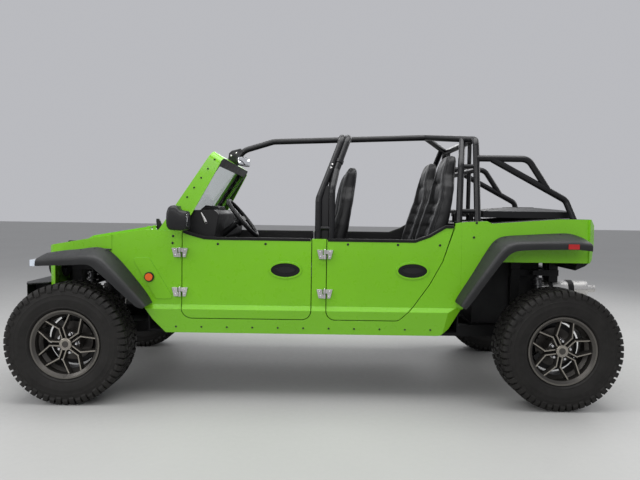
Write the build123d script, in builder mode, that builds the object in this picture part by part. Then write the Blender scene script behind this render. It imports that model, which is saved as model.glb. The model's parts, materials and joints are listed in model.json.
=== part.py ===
from build123d import *
import os
from math import cos, radians, sin, tan

os.makedirs("parts", exist_ok=True)

# Utility terrain vehicle: X runs from the nose to the tail, -Y is the driver's side, Z is up from the floor.

# Running gear
WHEELBASE = 2980
TRACK = 1405
TYRE_R = 367
TYRE_W = 235
RIM_SEAT_R = 190.5
RIM_WALL = 17.5
KINGPIN_OFFSET = 80.5
KINGPIN_R = 12
SPINDLE_R = 25
RUNNING_FIT = 0.05
HUB_Z = TYRE_R
FRONT_X = -WHEELBASE / 2
REAR_X = WHEELBASE / 2
WHEEL_Y = TRACK / 2
KINGPIN_Y = WHEEL_Y - KINGPIN_OFFSET

# Body
SILL_Z = 420
CREASE_Z = 583
BELT_Z = 1013
SIDE_Y = 665
SKIN = 40
DOOR_GAP = 5
NOSE_X = FRONT_X - 425
TAIL_X = REAR_X + 425
SHELL_END_X = REAR_X + 255
BULKHEAD_X = 905
FLOOR_Z = 432
SHEET = 10
COWL_X = -1055
COWL_Z = 1058
CLIP_X = FRONT_X + 230
HOOD_END_X = FRONT_X - 210
GRILLE_X = FRONT_X - 260
HOOD_SLOPE = 0.172
HOOD_PIN_X = -1035
HOOD_PIN_Z = 1070
HOOD_HINGE_Y = 500
LINER_Z = 862
DECK_Z = 1150

# Doors: front edge of each opening, and the bottom of both
FRONT_DOOR_X = -828
REAR_DOOR_X = 67
DOOR_LOW_Z = 510

# Frame
RAIL_Y = 300
RAIL_W = 60
RAIL_Z = 345
RAIL_H = 75
RAIL_TOP = RAIL_Z + RAIL_H
RAIL_END = 160

# Cage
TUBE_R = 21
THIN_TUBE_R = 14
REAR_HOOP_X = 1034
ROOF_Z = 1672
SHOULDER_Z = BELT_Z + (ROOF_Z - BELT_Z) * 0.663
CAGE_FOOT_Z = 1118
CAGE_Y = 470

# Hinges
PIN_R = 4
BARREL_R = 9
HINGE_Y = SIDE_Y + 12
HINGE_H = 55
HINGE_SET = 8
HINGE_TOP_HALF = 49
HINGE_LOW_HALF = 36

# Steering column: centre of the wheel's rim, and the angle of the column above level
STEER_X = -502
STEER_Y = -300
STEER_Z = 1131
STEER_TILT = 39.6
STEER_AXIS = Vector(cos(radians(STEER_TILT)), 0, sin(radians(STEER_TILT)))

SIDES = (-1, 1)
WIDE = 900


def block(x0, x1, y0, y1, z0, z1, mode=Mode.ADD):
    """Box between two corners."""
    with Locations(((x0 + x1) / 2, (y0 + y1) / 2, (z0 + z1) / 2)):
        Box(abs(x1 - x0), abs(y1 - y0), abs(z1 - z0), mode=mode)


def side_plate(points, y0, y1, rounds=(), mode=Mode.ADD):
    """Outline in X and Z, filled from one Y to another; rounds are (corner number, radius)."""
    with BuildSketch(Plane.XZ.offset(-y0)) as outline:
        Polygon(*points, align=None)
        for corner, radius in rounds:
            near = Vector(*points[corner])
            fillet(outline.vertices().sort_by_distance(near)[0], radius)
    extrude(outline.sketch, amount=y0 - y1, mode=mode)


def plan_plate(points, z0, z1, mode=Mode.ADD):
    """Outline in X and Y, filled from one Z to another."""
    with BuildSketch(Plane.XY.offset(z0)) as outline:
        Polygon(*points, align=None)
    extrude(outline.sketch, amount=z1 - z0, mode=mode)


def rod(start, end, radius, mode=Mode.ADD):
    """Straight round bar between two points."""
    axis = Vector(*end) - Vector(*start)
    with BuildSketch(Plane(origin=start, z_dir=axis)) as section:
        Circle(radius)
    extrude(section.sketch, amount=axis.length, mode=mode)


def tube(points, radius, bend):
    """Round tube along a path with rounded bends."""
    with BuildLine() as path:
        FilletPolyline(*points, radius=bend)
    with BuildSketch(Plane(origin=path.line @ 0, z_dir=path.line % 0)) as section:
        Circle(radius)
    sweep(section.sketch, path=path.line)


def both_sides(points):
    """Closed plan outline from its half with positive Y."""
    return list(points) + [(x, -y) for x, y in reversed(points)]


def side_skin(side, x0, x1, out=0, inside=SKIN):
    """Body side between two stations, with its crease; out thickens it outwards."""
    section_points = (
        (SIDE_Y - inside, SILL_Z - 5),
        (SIDE_Y + out, SILL_Z - 5),
        (SIDE_Y + 20 + out, CREASE_Z - 14),
        (SIDE_Y + out, CREASE_Z + 12),
        (SIDE_Y - 10 + out, BELT_Z),
        (SIDE_Y - 18 + out, DECK_Z + 60),
        (SIDE_Y - inside, DECK_Z + 60),
    )
    with BuildSketch(Plane.YZ.offset(x0)) as section:
        Polygon(*[(side * y, z) for y, z in section_points], align=None)
    extrude(section.sketch, amount=x1 - x0)


def save(part, name):
    """Name a finished piece and write it."""
    part.label = name
    export_step(part, "parts/" + name + ".step")


# Wheel, built on the origin with its outer face to -Y

RIM_LIP_R = RIM_SEAT_R + RIM_WALL
RIM_HALF = 101
SEAT_OUT = 89
RIM_PROFILE = (
    # axial place from the middle, radius
    (-RIM_HALF, RIM_LIP_R),
    (-93, RIM_LIP_R),
    (-SEAT_OUT, RIM_SEAT_R),
    (-60, RIM_SEAT_R),
    (-45, RIM_SEAT_R - 18.5),
    (30, RIM_SEAT_R - 18.5),
    (50, RIM_SEAT_R),
    (SEAT_OUT, RIM_SEAT_R),
    (93, RIM_LIP_R),
    (RIM_HALF, RIM_LIP_R),
    (RIM_HALF, RIM_LIP_R - 10),
    (90, RIM_SEAT_R - 8.5),
    (46, RIM_SEAT_R - 8.5),
    (28, RIM_SEAT_R - 27.5),
    (-47, RIM_SEAT_R - 27.5),
    (-62, RIM_SEAT_R - 8.5),
    (-92, RIM_SEAT_R - 8.5),
    (-RIM_HALF, RIM_LIP_R - 10),
)
SPOKES = 5
SPOKE_OUT = 82
SPOKE_IN = 52
SPOKE_END_R = RIM_SEAT_R - 3
SPOKE_BASE = 20
SPOKE_CREST = 7
STEM_HALF = 12.5
FORK_R = 98
FORK_ANGLE = 25.5
HUB_R = 72
HUB_DEPTH = 40
DISC_R = 120
DISC_OUT = -22
DISC_T = 10
CAP_R = 37
BOLT_CIRCLE_R = 57
NUT_R = 9
NUT_H = 16
SPOKE_ANGLES = [360 / SPOKES * k for k in range(SPOKES)]

with BuildPart() as spoke:
    for way in SIDES:
        bend = radians(90 + way * FORK_ANGLE)
        fork = (-way * STEM_HALF, FORK_R)
        rim_end = (SPOKE_END_R * cos(bend) * 1.05, SPOKE_END_R * sin(bend) * 1.05)
        for start, end in (((-way * STEM_HALF, CAP_R - 7), (fork[0], FORK_R + 6)), (fork, rim_end)):
            foot = Vector(start[0], -SPOKE_IN, start[1])
            run = Vector(end[0], -SPOKE_IN, end[1]) - foot
            with BuildSketch(Plane(origin=foot, x_dir=(0, -1, 0), z_dir=run)) as ridge:
                rise = SPOKE_OUT - SPOKE_IN
                base = SPOKE_BASE / 2
                crest = SPOKE_CREST / 2
                Polygon((0, -base), (rise, -crest), (rise, crest), (0, base), align=None)
            extrude(ridge.sketch, amount=run.length)
    rod((0, 0, 0), (0, -RIM_HALF, 0), SPOKE_END_R, mode=Mode.INTERSECT)

with BuildPart() as wheel:
    with BuildSketch(Plane.YZ) as rim_section:
        Polygon(*[(-a, r) for a, r in RIM_PROFILE], align=None)
    revolve(rim_section.sketch, axis=Axis.Y)
    for angle in SPOKE_ANGLES:
        with Locations(Location((0, 0, 0), (0, 1, 0), angle)):
            add(spoke.part)
    with BuildSketch(Plane.XZ.offset(-HUB_DEPTH)) as hub:
        Circle(HUB_R)
    extrude(hub.sketch, amount=SPOKE_IN + HUB_DEPTH)
    with BuildSketch(Plane.XZ.offset(DISC_OUT - DISC_T)) as disc:
        Circle(DISC_R)
    extrude(disc.sketch, amount=DISC_T)
    with BuildSketch(Plane.XZ.offset(SPOKE_IN)) as cap:
        Circle(CAP_R)
    extrude(cap.sketch, amount=SPOKE_OUT - SPOKE_IN + 8)
    with BuildSketch(Plane.XZ.offset(SPOKE_IN)) as nuts:
        with PolarLocations(BOLT_CIRCLE_R, SPOKES, start_angle=54):
            Circle(NUT_R)
    extrude(nuts.sketch, amount=NUT_H)
    with BuildSketch(Plane.XZ.offset(-HUB_DEPTH - 1)) as bore:
        Circle(SPINDLE_R + RUNNING_FIT)
    extrude(bore.sketch, amount=HUB_DEPTH + 1 + 62, mode=Mode.SUBTRACT)

# Tyre: wedges whose lugs lie now on one shoulder, now on the other

LUGS = 16
WEDGE = 180 / LUGS
TREAD_DEPTH = 16
TYRE_BASE_R = TYRE_R - TREAD_DEPTH
WALL_BULGE_R = (RIM_SEAT_R + TYRE_R) / 2 - 6.75
CAVITY_R = TYRE_BASE_R - 17
BEAD = ((76, RIM_SEAT_R), (SEAT_OUT, RIM_SEAT_R), (93, RIM_LIP_R), (TYRE_W / 2, WALL_BULGE_R))
LUG_SHOULDER = ((116, TYRE_BASE_R - 17), (104, TYRE_R), (-18, TYRE_R), (-18, TYRE_BASE_R))
PLAIN_SHOULDER = ((112, TYRE_BASE_R - 21), (96, TYRE_BASE_R))
CAVITY = ((-98, WALL_BULGE_R - 2), (-80, CAVITY_R), (80, CAVITY_R), (98, WALL_BULGE_R - 2))


def tyre_wedge(side):
    """Flat-faced slice of the tyre with a lug on one shoulder."""
    lug_side = [(side * a, r) for a, r in BEAD + LUG_SHOULDER]
    plain_side = [(-side * a, r) for a, r in reversed(BEAD + PLAIN_SHOULDER)]
    half = TYRE_R * tan(radians(WEDGE / 2))
    with BuildSketch(Plane.YZ.offset(-half)) as section:
        Polygon(*lug_side, *plain_side, *[(side * a, r) for a, r in CAVITY], align=None)
    extrude(section.sketch, amount=2 * half)
    side_plate(((0, 0), (-half, TYRE_R), (half, TYRE_R)), -TYRE_W, TYRE_W, mode=Mode.INTERSECT)


with BuildPart() as out_wedge:
    tyre_wedge(-1)
with BuildPart() as in_wedge:
    tyre_wedge(1)
with BuildPart() as tyre:
    for first, wedge in ((0, out_wedge), (1, in_wedge)):
        turns = [Location((0, 0, 0), (0, 1, 0), WEDGE * (2 * lug + first)) for lug in range(LUGS)]
        with Locations(*turns):
            add(wedge.part)

WHEELS = (
    # name, X, side, turn of the spokes
    ("front_left", FRONT_X, -1, -17.4),
    ("front_right", FRONT_X, 1, -17.4),
    ("rear_left", REAR_X, -1, -26.5),
    ("rear_right", REAR_X, 1, -26.5),
)
for name, x, side, spoke_turn in WHEELS:
    place = Location((x, side * WHEEL_Y, HUB_Z), (0, 0, 1), 0 if side < 0 else 180)
    for kind, piece, turn in (("wheel_", wheel, spoke_turn), ("tyre_", tyre, 0)):
        with BuildPart() as placed:
            with Locations(place * Location((0, 0, 0), (0, 1, 0), turn)):
                add(piece.part)
        save(placed.part, kind + name)

# Knuckles and suspension

UPRIGHT_HALF = 72
UPRIGHT_W = 60
BOSS_GAP = 11
BOSS_H = 28
BOSS_R = KINGPIN_R + 15
LOWER_BOSS_Z = HUB_Z - UPRIGHT_HALF - BOSS_GAP - BOSS_H
UPPER_BOSS_Z = HUB_Z + UPRIGHT_HALF + BOSS_GAP
KINGPIN_HALF = UPRIGHT_HALF + BOSS_GAP + BOSS_H
SPINDLE_END = -KINGPIN_OFFSET - 35
HUB_FACE = -KINGPIN_OFFSET + 48
DISC_Y = -KINGPIN_OFFSET + 27

# Caliper that straddles the disc, pointing to +X from the hub, and the angles above +X where it sits

FRONT_CALIPER = 128
REAR_CALIPER = 215
CALIPER_R = 142
with BuildPart() as caliper:
    block(95, CALIPER_R, DISC_Y - 20.5, DISC_Y + 20.5, -30, 30)
    block(60, DISC_R + 8, DISC_Y - 10.5, DISC_Y + 10.5, -45, 45, mode=Mode.SUBTRACT)
    block(30, CALIPER_R, DISC_Y + 18.5, -14, -20, 20)

with BuildPart() as knuckle:
    block(-UPRIGHT_W / 2, UPRIGHT_W / 2, -20, 20, -UPRIGHT_HALF, UPRIGHT_HALF)
    rod((0, 0, -KINGPIN_HALF), (0, 0, KINGPIN_HALF), KINGPIN_R)
    rod((0, 0, 0), (0, SPINDLE_END, 0), SPINDLE_R)
    rod((0, 0, 0), (0, HUB_FACE, 0), 40)
    # steering arm
    block(20, 120, -14, 14, -40, -20)
    with Locations(Location((0, 0, 0), (0, 1, 0), -FRONT_CALIPER)):
        add(caliper.part)

for name, side in (("left", -1), ("right", 1)):
    with BuildPart() as placed_knuckle:
        with Locations((FRONT_X, KINGPIN_Y, HUB_Z)):
            add(mirror(knuckle.part, about=Plane.XZ, mode=Mode.PRIVATE))
        if side < 0:
            mirror(about=Plane.XZ, mode=Mode.REPLACE)
    save(placed_knuckle.part, "knuckle_" + name)

PIVOT_Y = RAIL_Y + 45
ARM_SPREAD = 130
ARM_R = 12
LOWER_PIVOT_Z = RAIL_Z - 15
UPPER_PIVOT_Z = RAIL_TOP + 80
SHOCK_TOP_Z = 790
SHOCK_TOP_Y = 372
SHOCK_FOOT_Y = KINGPIN_Y - 102
SHOCK_FOOT_Z = 292
COILS = 8
COIL_START = 0.34
COIL_END = 0.92


def wishbone(x, side, end_y, end_z, root_z):
    """Two-legged arm from the frame to the wheel end."""
    for way in SIDES:
        root_x = x + way * ARM_SPREAD
        rod((root_x, side * PIVOT_Y, root_z), (x, side * end_y, end_z), ARM_R)
        rod((root_x - 28, side * PIVOT_Y, root_z), (root_x + 28, side * PIVOT_Y, root_z), 18)


def shock(x, side):
    """Damper with its spring, drawn as rings round the body."""
    foot = Vector(x, side * SHOCK_FOOT_Y, SHOCK_FOOT_Z)
    top = Vector(x, side * SHOCK_TOP_Y, SHOCK_TOP_Z)
    run = top - foot
    rod(tuple(foot), tuple(top), 12)
    rod(tuple(foot + run * COIL_START), tuple(foot + run * COIL_END), 26)
    pitch = (COIL_END - COIL_START) / COILS
    for coil in range(COILS + 1):
        centre = foot + run * (COIL_START + coil * pitch)
        along = run.normalized() * 6
        rod(tuple(centre - along), tuple(centre + along), 37)
    rod((x - 60, side * SHOCK_FOOT_Y, 290), (x + 60, side * SHOCK_FOOT_Y, 290), 14)


with BuildPart() as front_suspension:
    for side in SIDES:
        for boss_z, root_z in ((LOWER_BOSS_Z, LOWER_PIVOT_Z), (UPPER_BOSS_Z, UPPER_PIVOT_Z)):
            boss = (FRONT_X, side * KINGPIN_Y, boss_z)
            wishbone(FRONT_X, side, KINGPIN_Y, boss_z + BOSS_H / 2, root_z)
            rod(boss, (FRONT_X, side * KINGPIN_Y, boss_z + BOSS_H), BOSS_R)
            below = (FRONT_X, side * KINGPIN_Y, boss_z - 20)
            above = (FRONT_X, side * KINGPIN_Y, boss_z + BOSS_H + 20)
            rod(below, above, KINGPIN_R + RUNNING_FIT, mode=Mode.SUBTRACT)
        shock(FRONT_X, side)

REAR_UPRIGHT_HALF = 105
SHAFT_START_Y = 236
with BuildPart() as rear_suspension:
    for side in SIDES:
        hub = (REAR_X, side * KINGPIN_Y, HUB_Z)
        y0 = side * (KINGPIN_Y - 20)
        y1 = side * (KINGPIN_Y + 20)
        z0 = HUB_Z - REAR_UPRIGHT_HALF
        z1 = HUB_Z + REAR_UPRIGHT_HALF
        block(REAR_X - UPRIGHT_W / 2, REAR_X + UPRIGHT_W / 2, y0, y1, z0, z1)
        rod(hub, (REAR_X, side * (KINGPIN_Y - SPINDLE_END), HUB_Z), SPINDLE_R)
        rod(hub, (REAR_X, side * (KINGPIN_Y - HUB_FACE), HUB_Z), 40)
        rod((REAR_X, side * SHAFT_START_Y, HUB_Z + 110), hub, 17)
        for end_z, root_z in ((HUB_Z - 92, LOWER_PIVOT_Z), (HUB_Z + 92, UPPER_PIVOT_Z)):
            wishbone(REAR_X, side, KINGPIN_Y - 7, end_z, root_z)
        shock(REAR_X, side)
        rear_caliper = caliper.part if side < 0 else mirror(caliper.part, about=Plane.XZ, mode=Mode.PRIVATE)
        with Locations(Location(hub, (0, 1, 0), -REAR_CALIPER)):
            add(rear_caliper)

# Engine and exhaust

ENGINE_Y = 230
ENGINE_TOP = 900
with BuildPart() as engine_block:
    block(REAR_X - 390, REAR_X + 70, -ENGINE_Y, ENGINE_Y, RAIL_TOP, ENGINE_TOP)
save(engine_block.part, "engine_block")

MUFFLER_Y = -300
MUFFLER_Z = 680
MUFFLER_R = 55
PIPE_R = 24
CAN_X0 = REAR_X + 30
CAN_X1 = REAR_X + 361
with BuildPart() as muffler:
    rod((CAN_X0, MUFFLER_Y, MUFFLER_Z), (CAN_X1, MUFFLER_Y, MUFFLER_Z), MUFFLER_R)
    for x, width in ((CAN_X0 + 66, 26), (CAN_X0 + 198, 36)):
        rod((x, MUFFLER_Y, MUFFLER_Z), (x + width, MUFFLER_Y, MUFFLER_Z), MUFFLER_R + 4)
    rod((CAN_X1 - 10, MUFFLER_Y, MUFFLER_Z), (TAIL_X, MUFFLER_Y, MUFFLER_Z), PIPE_R)
    rod((CAN_X1, MUFFLER_Y, MUFFLER_Z), (TAIL_X + 5, MUFFLER_Y, MUFFLER_Z), PIPE_R - 3, mode=Mode.SUBTRACT)
    rod((REAR_X + 55, -180, MUFFLER_Z - 30), (CAN_X0 + 15, MUFFLER_Y + 10, MUFFLER_Z - 5), 20)
    add(engine_block.part, mode=Mode.SUBTRACT)
save(muffler.part, "muffler")

# Frame: two rails on a skid plate, with a hitch plate at the tail

HITCH_X = REAR_X + 280
HITCH_T = 12
HITCH_HOLE_R = 9.5
CROSS_MEMBERS = (FRONT_X - RAIL_END, FRONT_X + 310, -620, 0, 620, REAR_X - 410, REAR_X, REAR_X + 100)
with BuildPart() as chassis_frame:
    for side in SIDES:
        y0 = side * (RAIL_Y - RAIL_W / 2)
        y1 = side * (RAIL_Y + RAIL_W / 2)
        block(FRONT_X - RAIL_END, REAR_X + RAIL_END, y0, y1, RAIL_Z, RAIL_TOP)
    block(FRONT_X - RAIL_END, REAR_X + RAIL_END, -RAIL_Y, RAIL_Y, RAIL_Z, RAIL_Z + 6)
    for x in CROSS_MEMBERS:
        block(x, x + 60, -RAIL_Y, RAIL_Y, RAIL_Z, RAIL_TOP)
    hitch_plan = ((REAR_X + RAIL_END - 5, 60), (HITCH_X, 40), (HITCH_X + 30, 20))
    plan_plate(both_sides(hitch_plan), RAIL_Z, RAIL_Z + HITCH_T)
    rod((HITCH_X, 0, RAIL_Z - 10), (HITCH_X, 0, RAIL_TOP), HITCH_HOLE_R, mode=Mode.SUBTRACT)
    add(front_suspension.part, mode=Mode.SUBTRACT)
    add(rear_suspension.part, mode=Mode.SUBTRACT)
save(chassis_frame.part, "chassis_frame")
save(front_suspension.part, "front_suspension")
save(rear_suspension.part, "rear_suspension")

# Spring towers on the rails; the rear pair carry the tail of the body and the muffler

TOWER_IN_Y = RAIL_Y - 10
TOWER_OUT_Y = RAIL_Y + 32
TAIL_BAR_X = REAR_X + 150
TAIL_BAR_Z = 895


def towers(x, post_top):
    """Four posts with the bars that hold the tops of the shocks."""
    for side in SIDES:
        y0 = side * TOWER_IN_Y
        for post_x in (x - RAIL_END, x + RAIL_END - 60):
            block(post_x, post_x + 60, y0, side * TOWER_OUT_Y, RAIL_TOP, post_top)
        block(x - RAIL_END, x + RAIL_END, y0, side * (TOWER_OUT_Y + 13), SHOCK_TOP_Z - 20, SHOCK_TOP_Z + 20)
        block(x - 40, x + 40, side * TOWER_OUT_Y, side * (SHOCK_TOP_Y + 38), SHOCK_TOP_Z - 10, SHOCK_TOP_Z + 20)


with BuildPart() as front_towers:
    towers(FRONT_X, LINER_Z)
    for x in (FRONT_X - 140, FRONT_X + 140):
        block(x - 25, x + 25, -RAIL_Y, RAIL_Y, SHOCK_TOP_Z - 25, SHOCK_TOP_Z + 20)
    add(front_suspension.part, mode=Mode.SUBTRACT)
save(front_towers.part, "front_towers")

with BuildPart() as rear_towers:
    towers(REAR_X, ENGINE_TOP - 20)
    block(REAR_X + 115, REAR_X + 165, -RAIL_Y, RAIL_Y, SHOCK_TOP_Z - 25, SHOCK_TOP_Z + 20)
    for side in SIDES:
        block(REAR_X + 110, REAR_X + 160, side * 195, side * 240, RAIL_TOP, TAIL_BAR_Z + 45)
    tail_y = SIDE_Y - SKIN
    block(TAIL_BAR_X, TAIL_BAR_X + 50, -tail_y, tail_y, TAIL_BAR_Z, TAIL_BAR_Z + 45)
    block(REAR_X + 110, REAR_X + 150, MUFFLER_Y + 20, -240, MUFFLER_Z - 15, MUFFLER_Z + 15)
    skirt = (
        (TAIL_BAR_X + 10, TAIL_BAR_Z),
        (TAIL_BAR_X + 10, 886),
        (TAIL_BAR_X, 835),
        (REAR_X + 210, 862),
        (REAR_X + 238, 886),
        (REAR_X + 200, 886),
        (REAR_X + 200, TAIL_BAR_Z),
    )
    side_plate(skirt, -(SIDE_Y - 65), SIDE_Y - 65)
    add(rear_suspension.part, mode=Mode.SUBTRACT)
    add(muffler.part, mode=Mode.SUBTRACT)
save(rear_towers.part, "rear_towers")

# Body side outlines in X and Z

BODY_OUTLINE = (
    (FRONT_X + 440, 574),
    (FRONT_X + 490, 500),
    (FRONT_X + 565, SILL_Z),
    (REAR_X - 710, SILL_Z),
    (REAR_X - 655, 462),
    (REAR_X - 565, CREASE_Z + 21),
    (REAR_X - 602, CREASE_Z + 41),
    (REAR_X - 602, 673),
    (REAR_X - 330, 886),
    (REAR_X + 210, 886),
    (REAR_X + 232, 905),
    (REAR_X + 250, 1000),
    (REAR_X + 246, 1120),
    (REAR_X + 210, DECK_Z + 8),
    (REAR_X + 20, DECK_Z + 6),
    (1090, 1124),
    (1060, 1139),
    (912, 1130),
    (813, 1110),
    (709, 1049),
    (617, BELT_Z),
    (-680, BELT_Z),
    (-760, 1034),
    (-830, COWL_Z - 6),
    (COWL_X, COWL_Z),
    (CLIP_X, COWL_Z + (CLIP_X - COWL_X) * HOOD_SLOPE),
    (CLIP_X, 870),
)
TAIL_CORNER_NO = 11
NOTCH_Z = CREASE_Z + 60
FRONT_DOOR_END_X = -21
REAR_DOOR_EDGE = ((520, DOOR_LOW_Z), (612, 596), (714, 740), (792, 883))
FRONT_DOOR = (
    (FRONT_DOOR_X, DOOR_LOW_Z),
    (FRONT_DOOR_END_X, DOOR_LOW_Z),
    (FRONT_DOOR_END_X, BELT_Z + 20),
    (-690, BELT_Z + 20),
    (-770, COWL_Z + 17),
    (FRONT_DOOR_X, COWL_Z + 17),
)
REAR_DOOR = (
    (REAR_DOOR_X, DOOR_LOW_Z),
    *REAR_DOOR_EDGE,
    (868, 1110),
    (868, 1160),
    (813, 1160),
    (709, 1095),
    (617, BELT_Z + 20),
    (REAR_DOOR_X, BELT_Z + 20),
)
FRONT_PANEL = (
    (FRONT_DOOR_X, DOOR_LOW_Z),
    (FRONT_DOOR_END_X, DOOR_LOW_Z),
    (FRONT_DOOR_END_X, BELT_Z),
    (-680, BELT_Z),
    (-760, 1034),
    (FRONT_DOOR_X, COWL_Z - 6),
)
REAR_PANEL = (
    (REAR_DOOR_X, DOOR_LOW_Z),
    *REAR_DOOR_EDGE,
    (863, 1106),
    (813, 1110),
    (709, 1049),
    (617, BELT_Z),
    (REAR_DOOR_X, BELT_Z),
)
DOOR_ROUND = 60
HINGE_ROWS = (919, 675)
HINGES = (FRONT_DOOR_X - HINGE_SET, REAR_DOOR_X - HINGE_SET)

# Raised panel on each front wing, and the bevel at the rear end of each rocker

WING_PANEL = (
    (FRONT_X + 355, 884),
    (FRONT_X + 460, 884),
    (FRONT_X + 617, 630),
    (FRONT_X + 506, 630),
)
WING_RISE = 4
with BuildPart() as wing_panels:
    for side in SIDES:
        side_skin(side, FRONT_X + 300, FRONT_X + 640, out=WING_RISE)
    side_plate(WING_PANEL, -WIDE, WIDE, rounds=((0, 16), (1, 16), (2, 16), (3, 16)), mode=Mode.INTERSECT)

BEVEL_TOP = Vector(REAR_X - 644, 0, CREASE_Z + 37)
BEVEL_FOOT = Vector(REAR_X - 728, 0, SILL_Z + 20)
BEVEL_ALONG = (BEVEL_TOP - BEVEL_FOOT).normalized()
with BuildPart() as rocker_bevels:
    for side in SIDES:
        origin = BEVEL_FOOT - BEVEL_ALONG * 60 + Vector(0, side * (SIDE_Y + 21), 0)
        across = Vector(BEVEL_ALONG.Z, 0, -BEVEL_ALONG.X)
        with BuildSketch(Plane(origin=origin, x_dir=across, z_dir=BEVEL_ALONG)) as cut:
            Polygon((0, 0), (120, -side * 66), (120, side * 40), (0, side * 40), align=None)
        extrude(cut.sketch, amount=(BEVEL_TOP - BEVEL_FOOT).length + 60)

with BuildPart() as body_shell:
    for side in SIDES:
        side_skin(side, FRONT_X + 220, SHELL_END_X)
    add(wing_panels.part)
    side_plate(BODY_OUTLINE, -WIDE, WIDE, rounds=((1, 60), (3, 40)), mode=Mode.INTERSECT)
    side_plate(FRONT_DOOR, -WIDE, WIDE, rounds=((0, 70), (1, DOOR_ROUND)), mode=Mode.SUBTRACT)
    side_plate(REAR_DOOR, -WIDE, WIDE, rounds=((0, DOOR_ROUND), (1, DOOR_ROUND)), mode=Mode.SUBTRACT)
    block(BULKHEAD_X, SHELL_END_X + 55, -WIDE, WIDE, NOTCH_Z, 1300, mode=Mode.SUBTRACT)
    add(rocker_bevels.part, mode=Mode.SUBTRACT)
    for side in SIDES:
        for x in HINGES:
            for z in HINGE_ROWS:
                leaf_z = z - HINGE_H / 2
                leaf_top = z + HINGE_H / 2
                leaf = (
                    (x - HINGE_TOP_HALF, leaf_top),
                    (x - HINGE_LOW_HALF, leaf_z),
                    (x - 14, leaf_z),
                    (x - 14, leaf_top),
                )
                side_plate(leaf, side * (SIDE_Y - 12), side * HINGE_Y)
                block(x - 15, x + 4, side * (SIDE_Y - 12), side * HINGE_Y, leaf_z, z - 3)
                rod((x, side * HINGE_Y, leaf_z), (x, side * HINGE_Y, z - 3), BARREL_R)
                rod((x, side * HINGE_Y, z - 4), (x, side * HINGE_Y, z + HINGE_H / 2 + 4), PIN_R)
    block(COWL_X + 10, -885, -(SIDE_Y - SKIN), SIDE_Y - SKIN, COWL_Z - 50, COWL_Z - 14)
    for side in SIDES:
        inner = side * (HOOD_HINGE_Y - 24)
        outer = side * (HOOD_HINGE_Y + 34)
        block(COWL_X + 10, HOOD_PIN_X + 10, outer - side * 8, outer, COWL_Z - 14, HOOD_PIN_Z + 10)
        rod((HOOD_PIN_X, inner, HOOD_PIN_Z), (HOOD_PIN_X, outer, HOOD_PIN_Z), PIN_R)
save(body_shell.part, "body_shell")

HANDLE_L = 180
HANDLE_H = 86
DOORS = (
    # name, panel, radius of the front lower corner, front edge, handle X, handle Z
    ("front", FRONT_PANEL, 70, FRONT_DOOR_X, -185, 818),
    ("rear", REAR_PANEL, DOOR_ROUND, REAR_DOOR_X, 603, 824),
)
for name, opening, corner_round, edge_x, handle_x, handle_z in DOORS:
    hinge_x = edge_x - HINGE_SET
    with BuildPart() as door:
        side_skin(-1, hinge_x, BULKHEAD_X - 5)
        with BuildSketch(Plane.XZ) as panel:
            Polygon(*opening, align=None)
            for corner, radius in ((0, corner_round), (1, DOOR_ROUND)):
                near = Vector(*opening[corner])
                fillet(panel.vertices().sort_by_distance(near)[0], radius)
            offset(amount=-DOOR_GAP, kind=Kind.INTERSECTION, mode=Mode.REPLACE)
        extrude(panel.sketch, amount=WIDE, mode=Mode.INTERSECT)
        with BuildSketch(Plane.XZ.offset(SIDE_Y - 20)) as lip:
            with Locations((handle_x, handle_z)):
                Ellipse(HANDLE_L / 2 + 13, HANDLE_H / 2 + 12)
        extrude(lip.sketch, amount=19)
        with BuildSketch(Plane.XZ.offset(SIDE_Y - 16)) as recess:
            with Locations((handle_x, handle_z)):
                Ellipse(HANDLE_L / 2, HANDLE_H / 2)
        extrude(recess.sketch, amount=60, mode=Mode.SUBTRACT)
        with BuildSketch(Plane.XZ.offset(SIDE_Y - 16)) as paddle:
            with Locations((handle_x, handle_z)):
                Ellipse(HANDLE_L / 2 - 28, HANDLE_H / 2 - 24)
        extrude(paddle.sketch, amount=10)
        for z in HINGE_ROWS:
            top = z + HINGE_H / 2
            leaf_z = z - HINGE_H / 2
            leaf = (
                (hinge_x + HINGE_TOP_HALF, top),
                (hinge_x + HINGE_LOW_HALF, leaf_z),
                (hinge_x + 18, leaf_z),
                (hinge_x + 18, top),
            )
            side_plate(leaf, -HINGE_Y, -(SIDE_Y - 12))
            block(hinge_x, hinge_x + 19, -(SIDE_Y + 5), -HINGE_Y, z + 3, top)
            rod((hinge_x, -HINGE_Y, z + 3), (hinge_x, -HINGE_Y, top), BARREL_R)
            base = (hinge_x, -HINGE_Y, z - 20)
            rod(base, (hinge_x, -HINGE_Y, z + HINGE_H), PIN_R + RUNNING_FIT, mode=Mode.SUBTRACT)
    save(door.part, "door_" + name + "_left")
    with BuildPart() as far_door:
        add(mirror(door.part, about=Plane.XZ, mode=Mode.PRIVATE))
    save(far_door.part, "door_" + name + "_right")

# Rear shell: quarters, tail panel and ledges round the deck

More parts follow.
